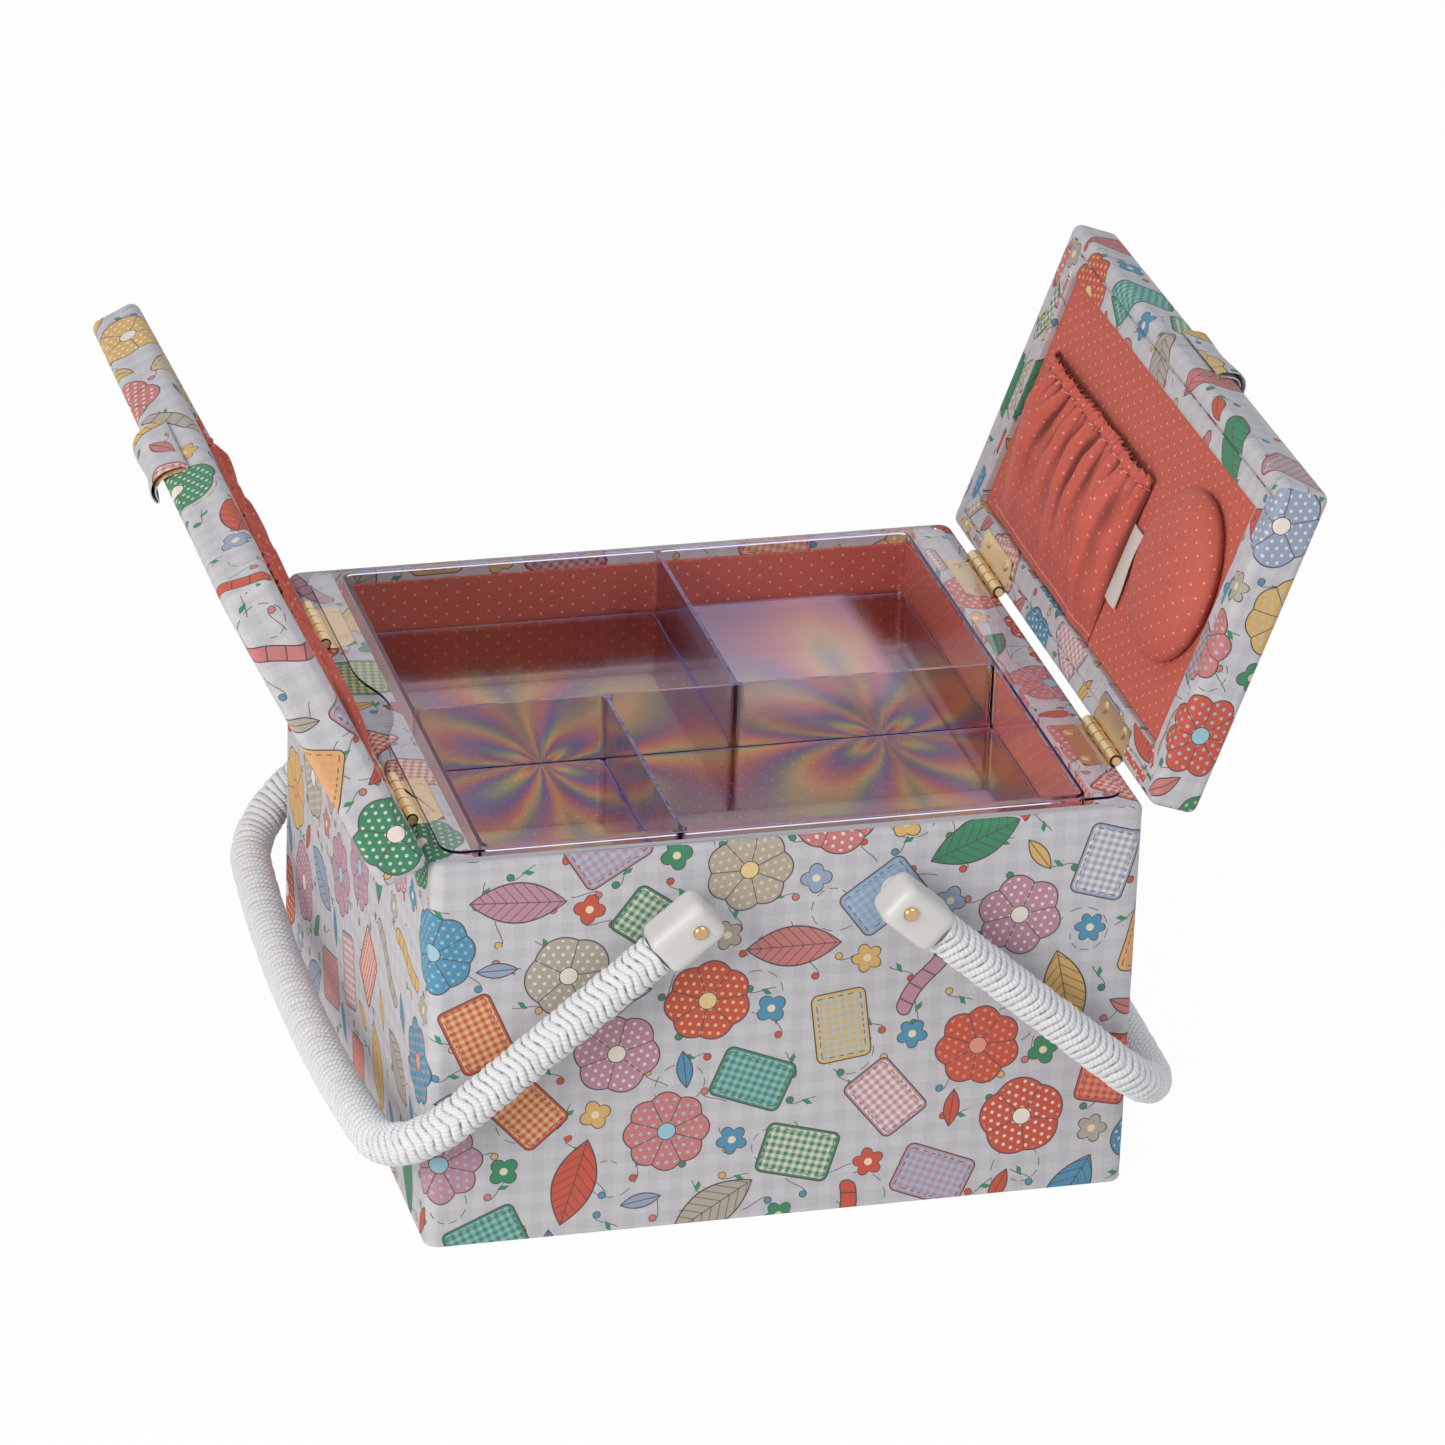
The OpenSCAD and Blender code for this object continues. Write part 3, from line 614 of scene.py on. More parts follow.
STRAIN_BANDS = [
    (0.0, linear(232, 190, 116)),
    (0.16, linear(226, 140, 98)),
    (0.32, linear(196, 106, 140)),
    (0.5, linear(122, 94, 172)),
    (0.66, linear(82, 116, 164)),
    (0.82, linear(156, 172, 124)),
    (1.0, linear(232, 190, 116)),
]


def clear_plastic():
    """Clear moulded plastic whose strained floor and cross wall shine in soft rainbow bands
    that fan out from two points, with a pale painted reflection of white surroundings in the back
    right compartment and violet edges on the dividers."""
    paint = Paint("clear_plastic")
    x, y, z = paint.place()
    low, high = (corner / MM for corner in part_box("tray"))
    cross_y, cross_half, flange = TRAY_CROSS_Y / MM, 2.5, 17
    left_gate, right_gate, halfway = -68, 74, 3
    gate_x = paint.choose(x > halfway, left_gate, right_gate)
    from_cross = abs(y - cross_y)
    reach, angle = polar(abs(x - gate_x), from_cross + (z - low.z))
    drift = paint.noise(9, 1) * 1.6 + paint.noise(30, 1) * 0.25
    fan = (angle * 2).sin() * (30 / (reach + 12)) ** 0.5 * 1.9
    bands = paint.node("ValToRGB", {"stops": STRAIN_BANDS}, (fan + drift).fraction())
    near = reach.ramp(15, 110, 1.0, 0.35)
    colour = paint.mix(near, linear(196, 156, 140), bands)

    inside = (abs(x) - (high.x - flange)).inside(2.0)
    low_down = (z - low.z - 3).inside(1.0)
    cross = (from_cross - cross_half).inside(0.5)
    beams = (angle * 6 + drift * 2).sin().ramp(-1, 1, 0.7, 1.0)
    shine = low_down.most(cross) * inside * paint.noise(22, 1).ramp(0.35, 0.65, 0.27, 0.42) * beams
    shine = shine * (1 - cross * 0.4)
    # Painted reflection: a pale patch in the back right compartment standing in for the white
    # surroundings mirrored in the floor; it is also made rougher and less metallic.
    reflection_x, reflection_half, reflection_reach = 60, 30, 46
    painted_reflection = abs(x - reflection_x).ramp(reflection_half, reflection_reach, 1.0, 0.0) * y.ramp(8, 44) * low_down
    shine = shine.most(painted_reflection * 0.66)
    colour = paint.mix(painted_reflection, colour, paint.mix(0.45, linear(248, 228, 240), bands))

    front_divider, back_divider, divider_half, divider_reach = -42, 12.5, 2.4, 124
    divider_x = paint.choose(y > cross_y, front_divider, back_divider)
    divider = (abs(x - divider_x) - divider_half).inside(0.5) * (abs(y) < divider_reach)
    streaks = paint.noise(1.0, 2, paint.vector(y * 0.9, x * 0.1, z * 0.02))
    violet = paint.mix(streaks.ramp(0.35, 0.65), linear(92, 70, 150), linear(190, 176, 226))
    colour = paint.mix(divider, colour, violet)
    shine = shine.most(divider * 0.3)

    film = paint.surface(colour, painted_reflection * 0.4 + 0.12, None, Metallic=1 - painted_reflection * 0.8)
    glass = paint.surface(linear(248, 246, 248), 0.01, None, Transmission_Weight=1.0, IOR=1.3)
    solid = paint.node("MixShader", None, shine, glass, film)
    lamp_ray = paint.node("LightPath").output("Is Shadow Ray")
    clear = paint.node("BsdfTransparent", None, linear(200, 192, 192))
    return paint.done(paint.node("MixShader", None, lamp_ray, solid, clear))


def violet_edge():
    """The edges of the clear tray, which gather a deep violet."""
    paint = Paint("violet_edge")
    colour = paint.mix(paint.noise(160), linear(112, 96, 190), linear(168, 158, 226))
    return paint.finish(colour, 0.15, None, Transmission_Weight=0.25, IOR=1.46)


MAKERS = {
    "printed_cloth": printed_cloth,
    "spotted_lining": spotted_lining,
    "coral_cloth": coral_cloth,
    "pocket_cloth": pocket_cloth,
    "board": covered_board,
    "brass": brass,
    "steel": steel,
    "white_plastic": white_plastic,
    "white_cord": white_cord,
    "white_cloth": white_cloth,
    "clear_plastic": clear_plastic,
    "violet_edge": violet_edge,
}
MATERIALS = {}


def material(name):
    """The finish of that name, made when it is first asked for."""
    if name not in MATERIALS:
        MATERIALS[name] = MAKERS[name]()
    return MATERIALS[name]


# ---- modelling helpers ----

def deselect():
    if bpy.context.object and bpy.context.object.mode != "OBJECT":
        leave()
    bpy.ops.object.select_all(action="DESELECT")


def choose(obj):
    """Makes obj the only selected and the active object."""
    deselect()
    obj.select_set(True)
    bpy.context.view_layer.objects.active = obj


def enter(obj):
    """Goes into obj's edit mode with all of its mesh selected."""
    choose(obj)
    bpy.ops.object.mode_set(mode="EDIT")
    bpy.ops.mesh.select_all(action="SELECT")


def leave():
    bpy.ops.object.mode_set(mode="OBJECT")


def link(obj):
    bpy.context.scene.collection.objects.link(obj)
    return obj


def freeze(obj):
    """Applies the object's place, turn and size to its mesh."""
    choose(obj)
    bpy.ops.object.transform_apply(location=True, rotation=True, scale=True)
    return obj


def add_block(name, low, high):
    """A box between two corners."""
    deselect()
    low, high = Vector(low), Vector(high)
    bpy.ops.mesh.primitive_cube_add(size=1, location=(low + high) / 2, scale=high - low)
    obj = bpy.context.object
    obj.name = obj.data.name = name
    return freeze(obj)


def inset_block(name, low, high, margin, low_z, high_z):
    """A block that stands in from a box's sides by a margin."""
    low_corner = low.x + margin, low.y + margin, low_z
    high_corner = high.x - margin, high.y - margin, high_z
    return add_block(name, low_corner, high_corner)


def round_edges(obj, radius, segments, holds=None, **settings):
    """Bevels the edges whose two ends pass a test, or all of them."""
    choose(obj)
    bpy.ops.object.mode_set(mode="EDIT")
    bpy.ops.mesh.select_mode(type="EDGE")
    bpy.ops.mesh.select_all(action="DESELECT")
    leave()
    points = obj.data.vertices
    for edge in obj.data.edges:
        edge.select = holds is None or holds(*(points[i].co for i in edge.vertices))
    bpy.ops.object.mode_set(mode="EDIT")
    bpy.ops.mesh.bevel(offset=radius, segments=segments, affect="EDGES", **settings)
    leave()


def modify(obj, kind, **settings):
    """Adds a modifier and applies it."""
    choose(obj)
    modifier = obj.modifiers.new(kind.title(), kind)
    for setting, value in settings.items():
        setattr(modifier, setting, value)
    bpy.ops.object.modifier_apply(modifier=modifier.name)


def smooth(obj, angle):
    choose(obj)
    bpy.ops.object.shade_smooth_by_angle(angle=math.radians(angle))


def smooth_flats(obj, angle=35):
    """Smooth shading that keeps large flat faces flat."""
    smooth(obj, angle)
    modify(obj, "WEIGHTED_NORMAL", keep_sharp=True)


def turn_outwards(obj):
    """Points every face of a closed piece outwards."""
    enter(obj)
    bpy.ops.mesh.normals_make_consistent(inside=False)
    leave()


def cut_away(obj, cutter):
    """Takes the cutter's shape out of obj, and removes the cutter."""
    modify(obj, "BOOLEAN", operation="DIFFERENCE", solver="EXACT", object=cutter)
    bpy.data.objects.remove(cutter)


def unfold(obj, flat_place):
    """Gives each corner its place on the flat cloth, from its point and its face's normal."""
    mesh = obj.data
    layer = mesh.uv_layers.get("cloth") or mesh.uv_layers.new(name="cloth")
    for face in mesh.polygons:
        for index in face.loop_indices:
            point = mesh.vertices[mesh.loops[index].vertex_index].co
            layer.data[index].uv = flat_place(point, face.normal, face.center)


def longest(vector):
    """The axis along which a vector is longest: 0, 1 or 2."""
    size = [abs(part) for part in vector]
    return size.index(max(size))


def box_sides(point, normal, _):
    """Flat place on the side of a box that the face looks to."""
    rest = list(point)
    del rest[longest(normal)]
    return rest


def dress(obj, body, finish, *nodes, slot=None):
    """Gives a finished piece its material and body, and hides the nodes that it stands for. The
    slot argument is not used."""
    obj.data.materials.clear()
    obj.data.materials.append(material(finish))
    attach(obj, body)
    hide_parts(*nodes)
    return obj


def grid_faces(columns, rows, closed=False):
    """Faces of a grid of points that runs along its columns first, or of a tube of rings."""
    faces = []
    for row in range(rows - 1):
        for column in range(columns if closed else columns - 1):
            here = row * columns + column
            beyond = row * columns + (column + 1) % columns
            faces.append((here, beyond, beyond + columns, here + columns))
    return faces


def make_mesh(name, points, faces):
    """A mesh object from points and faces."""
    mesh = bpy.data.meshes.new(name)
    mesh.from_pydata([tuple(point) for point in points], [], faces)
    return link(bpy.data.objects.new(name, mesh))


def lid_matrix(side):
    """Takes a shut lid's piece, drawn for the right-hand side, to its open place."""
    matrix = open_turn(side)
    return matrix if side > 0 else matrix @ Matrix.Scale(-1, 4, (1, 0, 0))


LEFT_CUT = 0.47


def open_out(obj, side):
    """Moves a shut lid's piece to its open place. The left one is cut from another stretch of cloth."""
    obj.data.transform(lid_matrix(side))
    if side < 0:
        obj.data.flip_normals()
        for layer in obj.data.uv_layers:
            for corner in layer.data:
                corner.uv.x = LEFT_CUT - corner.uv.x
    obj.data.update()


# ---- carcass ----

EDGE_R = 6 * MM
RIM_R = 2.5 * MM
FOOT_R = 1 * MM
MOUTH_R = 1.2 * MM
SPARE = 5 * MM
INSET_45 = 0.293
STEEP = 0.7072


def carcass_cloth_place(point, normal, middle):
    """Flat place on the cloth that wraps the four walls and turns in over the rim."""
    x45, y45 = HALF_W - EDGE_R * INSET_45, HALF_D - EDGE_R * INSET_45
    rim45 = RIM_Z - RIM_R * INSET_45
    x, y, z = point
    if abs(normal.z) > STEEP:
        gap_x, gap_y = HALF_W - abs(middle.x), HALF_D - abs(middle.y)
        on_side = gap_x * (HALF_D - INNER_Y) < gap_y * (HALF_W - INNER_X)
        beyond = HALF_W - abs(x) if on_side else HALF_D - abs(y)
        depth = beyond - RIM_R * INSET_45
        height = rim45 + depth if normal.z > 0 else -depth
        facing = Vector((middle.x, 0, 0)) if on_side else Vector((0, middle.y, 0))
    else:
        height = z
        facing = Vector((normal.x, normal.y, 0))
        if abs(middle.x) < HALF_W - 2 * EDGE_R and abs(middle.y) < HALF_D - EDGE_R:
            height = 2 * RIM_Z - z
            facing = -facing
    if abs(facing.x) > abs(facing.y):
        round_corner = x45 + y + y45
        return (round_corner if facing.x > 0 else -round_corner), height
    if facing.y < 0:
        return x, height
    return 2 * (x45 + y45) - x, height


def cut_leaf_seats(obj, side, low_z, high_z):
    """Lets a side's hinge leaves and knuckles into cloth and board."""
    room, knuckle_room = 0.2 * MM, 2.9 * MM
    leaf_low, leaf_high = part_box("right_box_leaves")
    half_l = leaf_high.y - HINGE_Y + room
    xs = sorted((side * (leaf_low.x - room), side * (HALF_W + 2 * MM)))
    for y in (-HINGE_Y, HINGE_Y):
        cut_away(obj, add_block("seat", (xs[0], y - half_l, low_z), (xs[1], y + half_l, high_z)))
        deselect()
        bpy.ops.mesh.primitive_cylinder_add(
            vertices=32, radius=knuckle_room, depth=2 * half_l + 2 * MM,
            location=(side * HINGE_AXIS.x, y, HINGE_AXIS.z), rotation=(math.pi / 2, 0, 0))
        cut_away(obj, freeze(bpy.context.object))


def build_carcass():
    """The cloth-covered walls and rails as one piece."""
    cover = add_block("box_cover", (-HALF_W, -HALF_D, 0), (HALF_W, HALF_D, RIM_Z))
    round_edges(cover, EDGE_R, 8, lambda a, b: abs(a.z - b.z) > RIM_Z / 2)
    round_edges(cover, RIM_R, 4, lambda a, b: min(a.z, b.z) > RIM_Z - NEAR)
    round_edges(cover, FOOT_R, 2, lambda a, b: max(a.z, b.z) < NEAR)
    board_low, board_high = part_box("base_board")
    cut_away(cover, add_block("room", (-INNER_X, -INNER_Y, FLOOR_Z), (INNER_X, INNER_Y, RIM_Z + SPARE)))
    cut_away(cover, inset_block("foot", board_low, board_high, 0, -SPARE, FLOOR_Z))
    round_edges(cover, MOUTH_R, 3, lambda a, b: all(
        p.z > RIM_Z - NEAR and abs(p.x) < INNER_X + NEAR and abs(p.y) < INNER_Y + NEAR for p in (a, b)))
    for side in SIDES:
        cut_leaf_seats(cover, side, RIM_Z - MOUTH_R, RIM_Z + SPARE)
    unfold(cover, carcass_cloth_place)
    smooth_flats(cover)
    dress(cover, "box", "printed_cloth",
          "front_wall", "back_wall", "left_wall", "right_wall", "left_rail", "right_rail")


class SEWINGBOX_OT_carcass(bpy.types.Operator):
    """Build the cloth-covered walls"""

    bl_idname = "sewingbox.carcass"
    bl_label = "Box cover"

    def execute(self, context):
        build_carcass()
        return {"FINISHED"}


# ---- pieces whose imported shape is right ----

def fine_copy(node, width, finish, slot=None):
    """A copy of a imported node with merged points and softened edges, in place of the node."""
    source = frame["nodes"][node]
    body = source["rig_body"]
    obj = link(bpy.data.objects.new(node + "_finish", source.data.copy()))
    enter(obj)
    bpy.ops.mesh.customdata_custom_splitnormals_clear()
    bpy.ops.mesh.remove_doubles(threshold=0.002 * MM)
    bpy.ops.mesh.dissolve_limited(angle_limit=math.radians(0.5))
    leave()
    if width:
        modify(obj, "BEVEL", width=width, segments=2, limit_method="ANGLE", angle_limit=math.radians(30))
    unfold(obj, box_sides)
    smooth_flats(obj)
    return dress(obj, body, finish, node, slot=slot)


class SEWINGBOX_OT_linings(bpy.types.Operator):
    """Finish the lining cards, the base board and the hidden inserts"""

    bl_idname = "sewingbox.linings"
    bl_label = "Linings and base"

    def execute(self, context):
        for place in ("floor", "front", "back", "left", "right"):
            fine_copy(place + "_lining", 0.5 * MM, "spotted_lining")
        fine_copy("base_board", 0.4 * MM, "board")
        fine_copy("wall_inserts", 0, "steel", "brass")
        return {"FINISHED"}


class SEWINGBOX_OT_hinges(bpy.types.Operator):
    """Finish the hinge leaves, pins and screws"""

    bl_idname = "sewingbox.hinges"
    bl_label = "Hinges"

    def execute(self, context):
        parts = ("box_leaves", "lid_leaves", "hinge_pins", "box_screws", "lid_screws")
        for side in ("left_", "right_"):
            for part in parts:
                fine_copy(side + part, (0.3 if "leaves" in part else 0.12) * MM, "brass")
        return {"FINISHED"}


def build_tray():
    """The clear tray, with its rounded edges in the violet that they gather."""
    tray = fine_copy("tray", 0, "clear_plastic")
    tray.data.materials.append(material("violet_edge"))
    modify(tray, "BEVEL", width=0.4 * MM, segments=2, limit_method="ANGLE",
           angle_limit=math.radians(40), material=1)
    smooth_flats(tray)


class SEWINGBOX_OT_tray(bpy.types.Operator):
    """Finish the clear tray"""

    bl_idname = "sewingbox.tray"
    bl_label = "Tray"

    def execute(self, context):
        build_tray()
        return {"FINISHED"}


# ---- lids ----

LID_R = 4 * MM
BEAD_R = 2 * MM
PANEL_R = 0.8 * MM


def lid_cloth_place(point, normal, middle):
    """Flat place on the cloth that wraps a shut lid from above and turns in under it."""
    inset = LID_R * INSET_45
    x0, y0, z0 = (part + inset for part in LID_LOW)
    x1, y1, z1 = (part - inset for part in LID_HIGH)
    x, y, z = point
    way = longest(normal)
    if way < 2:
        drop = z1 - z
        if way == 0:
            return (x0 - drop, y) if middle.x < (x0 + x1) / 2 else (x1 + drop, y)
        return (x, y0 - drop) if middle.y < 0 else (x, y1 + drop)
    if normal.z > 0:
        return x, y
    under = z1 - z0
    gaps = [middle.x - x0, x1 - middle.x, middle.y - y0, y1 - middle.y]
    folded = [(2 * x0 - under - x, y), (2 * x1 + under - x, y),
              (x, 2 * y0 - under - y), (x, 2 * y1 + under - y)]
    return folded[gaps.index(min(gaps))]


def finish_lid_piece(obj, side, flat_place, finish, node):
    """Unfolds, smooths, opens out and dresses a hard piece of a lid."""
    unfold(obj, flat_place)
    smooth_flats(obj)
    open_out(obj, side)
    dress(obj, SIDES[side] + "_lid", finish, SIDES[side] + node)


def build_lid_cover(side):
    """The cloth-covered board of a lid, hollow underneath."""
    cover = add_block(SIDES[side] + "_lid_cover", LID_LOW, LID_HIGH)
    round_edges(cover, LID_R, 6)
    lip = FRAME_LOW.x - LID_LOW.x
    cut_away(cover, inset_block("recess", LID_LOW, LID_HIGH, lip, LID_LOW.z - SPARE, PANEL_HIGH.z))
    round_edges(cover, MOUTH_R, 3, lambda a, b: all(
        p.z < LID_LOW.z + NEAR and FRAME_LOW.x - NEAR < p.x < FRAME_HIGH.x + NEAR
        and FRAME_LOW.y - NEAR < p.y < FRAME_HIGH.y + NEAR for p in (a, b)))
    cut_leaf_seats(cover, 1, LID_LOW.z - SPARE, LID_LOW.z + MOUTH_R)
    finish_lid_piece(cover, side, lid_cloth_place, "printed_cloth", "_lid_board")


def build_lid_frame(side):
    """The cloth-covered bead round a lid's lining."""
    bead = add_block(SIDES[side] + "_lid_bead", FRAME_LOW, FRAME_HIGH)
    width = PANEL_LOW.x - FRAME_LOW.x
    cut_away(bead, inset_block(
        "inner", FRAME_LOW, FRAME_HIGH, width, FRAME_LOW.z - SPARE, FRAME_HIGH.z + SPARE))
    round_edges(bead, BEAD_R, 4, lambda a, b: max(a.z, b.z) < FRAME_LOW.z + NEAR)
    cut_leaf_seats(bead, 1, LID_LOW.z - SPARE, LID_LOW.z + MOUTH_R)
    finish_lid_piece(bead, side, lid_cloth_place, "printed_cloth", "_lid_frame")


def build_lid_panel(side):
    """The lined panel inside a lid."""
    panel = add_block(SIDES[side] + "_lid_panel", PANEL_LOW, PANEL_HIGH)
    round_edges(panel, PANEL_R, 3, lambda a, b: max(a.z, b.z) < PANEL_Z + NEAR)
    finish_lid_piece(
        panel, side, lambda point, normal, middle: (point.y, point.x), "spotted_lining", "_lid_lining")


class SEWINGBOX_OT_lids(bpy.types.Operator):
    """Build both lids: covers, inner frames and lining panels"""

    bl_idname = "sewingbox.lids"
    bl_label = "Lids"

    def execute(self, context):
        for side in SIDES:
            build_lid_cover(side)
            build_lid_frame(side)
            build_lid_panel(side)
        return {"FINISHED"}


# ---- soft pieces on the lids ----

class SEWINGBOX_Soft(bpy.types.PropertyGroup):
    """Shapes of the gathered pockets."""

    pocket_fullness: bpy.props.FloatProperty(
        name="Pocket fullness", description="How far a pocket stands off its lid at its fullest",
        default=9 * MM, unit="LENGTH")
    gather_pitch: bpy.props.FloatProperty(
        name="Gather pitch", description="Distance from one gather of a pocket's hem to the next",
        default=5.2 * MM, unit="LENGTH")
    gather_height: bpy.props.FloatProperty(
        name="Gather height", description="Height of the gathers at the hem",
        default=2.7 * MM, unit="LENGTH")


def bell(value, width):
    """1 where the value is 0, falling to nothing some widths away."""
    return np.exp(-(value / width) ** 2)


def fade(value, length):
    """1 where the value is 0, dying out with that length."""
    return np.exp(-value / length)


def rise(value, length):
    """0 at 0 and below, 1 at that length and beyond."""
    return np.clip(value / length, 0, 1)


def soft_steps(values, places, heights, width=9):
    """Heights read off a line through set points, with its corners rounded."""
    raw = np.interp(values, places, heights)
    pad = np.pad(raw, width // 2, mode="edge")
    return np.convolve(pad, np.ones(width) / width, "valid")


def hollows(height, reach_along, reach_deep):
    """How far each point of a height grid lies below its neighbourhood."""
    middle = height
    for axis, reach in ((0, reach_deep), (1, reach_along)):
        padding = [(0, 0), (0, 0)]
        padding[axis] = (reach, reach)
        sums = np.cumsum(np.pad(middle, padding, mode="edge"), axis=axis)
        count = 2 * reach
        ends = sums.shape[axis]
        middle = (sums.take(range(count, ends), axis) - sums.take(range(ends - count), axis)) / count
    return middle - height


def set_painted_shade(obj, values):
    """Stores how deep in shade each point lies, from 0 to 1."""
    layer = obj.data.attributes.new("hollow", "FLOAT", "POINT")
    layer.data.foreach_set("value", np.clip(values, 0, 1).astype(np.float32).ravel())


def lay_on_cloth(obj, flat):
    """Gives each point of a mesh its place on the flat cloth."""
    layer = obj.data.uv_layers.new(name="cloth")
    for loop in obj.data.loops:
        layer.data[loop.index].uv = flat[loop.vertex_index]


def sheet_mesh(name, x, y, z, across, along):
    """A sheet from grids of its points and of their places on the flat cloth."""
    x, y, z, across, along = np.broadcast_arrays(x, y, z, across, along)
    rows, columns = x.shape
    sheet = make_mesh(name, np.stack([x, y, z], axis=-1).reshape(-1, 3), grid_faces(columns, rows))
    lay_on_cloth(sheet, np.stack([across, along], axis=-1).reshape(-1, 2))
    return sheet


def thicken(obj, thickness, side, angle=60, offset=0):
    """Gives a sheet its thickness and takes it to its place on the open lid."""
    modify(obj, "SOLIDIFY", thickness=thickness, offset=offset)
    smooth(obj, angle)
    open_out(obj, side)


def flatten(piece, side, foot):
    """Gives a soft piece a mesh of its own; the point of its lid is taken to the open lid but not used.
    """
    matrix = lid_matrix(side)
    foot = matrix @ Vector(foot)
    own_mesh(piece)


def gathers(along, from_hem, length, pitch, rng):
    """Ridges that start at the hem, spread and die out down the cloth; each third one is long."""
    ridges = np.zeros(np.broadcast(along, from_hem).shape)
    place, number = pitch * 0.6, 0
    while place < length - pitch * 0.5:
        long_fold = number % 3 == 1
        reach = (rng.uniform(26, 58) if long_fold else rng.uniform(8, 15)) * MM
        lean = (place / length - 0.35) * 0.7 + rng.uniform(-0.16, 0.16)
        width = pitch * 0.31 + from_hem * (0.09 if long_fold else 0.04)
        size = rng.uniform(0.8, 1.2)
        if long_fold:
            size = size + rng.uniform(0.7, 1.5) * rise(from_hem, 16 * MM)
        ridges = ridges + size * bell(along - place - lean * from_hem, width) * bell(from_hem, reach)
        place += pitch * rng.uniform(0.78, 1.25)
        number += 1
    return ridges


def pocket_height(side, sizes, along, from_hem, climb, length):
    """How far each point of a pocket stands off the panel."""
    edge_room = np.minimum(along, length - along)
    side_slope = 17 * MM
    sides = 1 - (1 - rise(edge_room, side_slope)) ** 2
    full_at, full_by = (0, 0.06, 0.25, 0.55, 0.78, 0.89, 1), (0.04, 0.12, 0.62, 1, 0.74, 0.48, 0.44)
    fullness = soft_steps(climb.ravel(), full_at, full_by)[:, None]
    share = along / length
    billow = 1 + 0.12 * np.sin(share * math.pi * 3 + 0.7) + 0.08 * np.sin(share * 17)
    if side < 0:
        flat_at, flat_by = (0, 0.25, 0.55, 1), (0.26, 0.34, 0.26, 0.18)
        billow = billow * np.interp(share, flat_at, flat_by)
    edge_fullness, edge_gather = 0.06, 0.35
    height = sizes.pocket_fullness * fullness * (edge_fullness + (1 - edge_fullness) * sides) * billow

    right_seed, left_seed, dip = 5, 11, 0.35
    rng = np.random.default_rng(right_seed if side > 0 else left_seed)
    ridges = gathers(along, from_hem, length, sizes.gather_pitch, rng) - dip * fade(from_hem, 12 * MM)
    height = height + ridges * sizes.gather_height * (edge_gather + (1 - edge_gather) * sides)

    casing = rise(from_hem, HEM)
    casing_height, lower_groove, upper_groove = 1.1 * MM, 0.7 * MM, 0.5 * MM
    height = height + casing_height * np.sin(math.pi * casing) ** 1.5 * (casing < 1)
    height = height - lower_groove * bell(from_hem - HEM, 0.8 * MM)
    height = height - upper_groove * bell(from_hem - 1.6 * MM, 0.7 * MM)

    band_height, band_y, slant = 2.2 * MM, 15 * MM, 0.12
    band = bell(along - band_y - from_hem * slant, 4 * MM)
    height = height + band_height * band * rise(from_hem, 12 * MM) * rise(climb, 1 / 3)
    wave_height, least_height = 0.5 * MM, 0.35 * MM
    waves = np.sin(along / (14 * MM) + 2.1) * np.sin(from_hem / (17 * MM) + along / (31 * MM))
    return np.maximum(height + wave_height * waves * sides, least_height)


def build_pocket(side):
    """A pocket sewn down on three sides, with its fourth gathered on elastic."""
    sizes = bpy.context.scene.sewing_soft
    name = SIDES[side]
    low, high = POCKETS[side]
    length, deep = high.y - low.y, high.x - low.x
    columns, rows = int(length / (0.75 * MM)), 100
    climb = np.linspace(0, 1, rows)[:, None]
    along, from_hem = np.linspace(0, 1, columns)[None, :] * length, (1 - climb) * deep
    height = pocket_height(side, sizes, along, from_hem, climb, length)

    edge, overhang, bulge_end, corner, corner_lift = 2.5 * MM, 3.2 * MM, 15 * MM, 5 * MM, 1.6 * MM
    edge_room = np.minimum(along, length - along)
    bulge = overhang * np.sin(math.pi * rise(edge_room, bulge_end)) ** 2 * rise(climb, 1 / 4)
    outward = np.where(along < length / 2, -1, 1)
    curl = fade(from_hem, corner) * fade(along, corner)
    height = height + corner_lift * curl
    y = low.y + edge + along * (length - 2 * edge) / length + outward * bulge - edge * curl
    scallop_depth, scallop_reach, full_shade = 0.8 * MM, 2.5 * MM, 1.1 * MM
    scallop = np.sin(along / sizes.gather_pitch * TURN + 0.8 * np.sin(along / (11 * MM)))
    x = high.x - climb * deep + scallop_depth * scallop * fade(from_hem, scallop_reach)
    gathered, gather_fade = 0.45, 30 * MM
    spread = 1 + gathered * fade(from_hem, gather_fade)
    pocket = sheet_mesh(
        name + "_pocket_cloth", x, y, PANEL_Z - height, (along - length / 2) * spread, climb * deep)
    # Painted shade in the valleys between the folds, as far as the cloth lies below its neighbourhood.
    set_painted_shade(pocket, hollows(height, reach_along=9, reach_deep=5) / full_shade)
    thicken(pocket, 0.4 * MM, side, angle=80, offset=-1)
    dress(pocket, name + "_lid", "pocket_cloth",
          name + "_pocket", name + "_pocket_elastic", slot="coral_cloth")
    flatten(pocket, side, (low.x, 0, PANEL_Z))


def cushion_profile(rings):
    """Share of the radius and of the height, from the foot up: a steep foot, then a dome."""
    climb = np.linspace(0, 1, rings)
    foot, foot_share, foot_level = 0.22, 0.93, 0.24
    swell = rise(climb, foot) * math.pi / 2
    dome = rise(climb - foot, 1 - foot) * math.pi / 2
    share = np.where(climb < foot, foot_share + (1 - foot_share) * np.sin(swell), np.cos(dome) ** 0.72)
    low, high = climb / foot * foot_level, foot_level + (1 - foot_level) * np.sin(dome) ** 1.15
    return share, np.where(climb < foot, low, high)


def added_waves(rng, angles, least, counts, divisor):
    """Waves round a circle, each with its own size and start, added up."""
    last_start = 6.28
    waves = [rng.uniform(least, 1) * np.cos(count * angles + rng.uniform(0, last_start))
             for count in counts]
    return sum(waves) / divisor


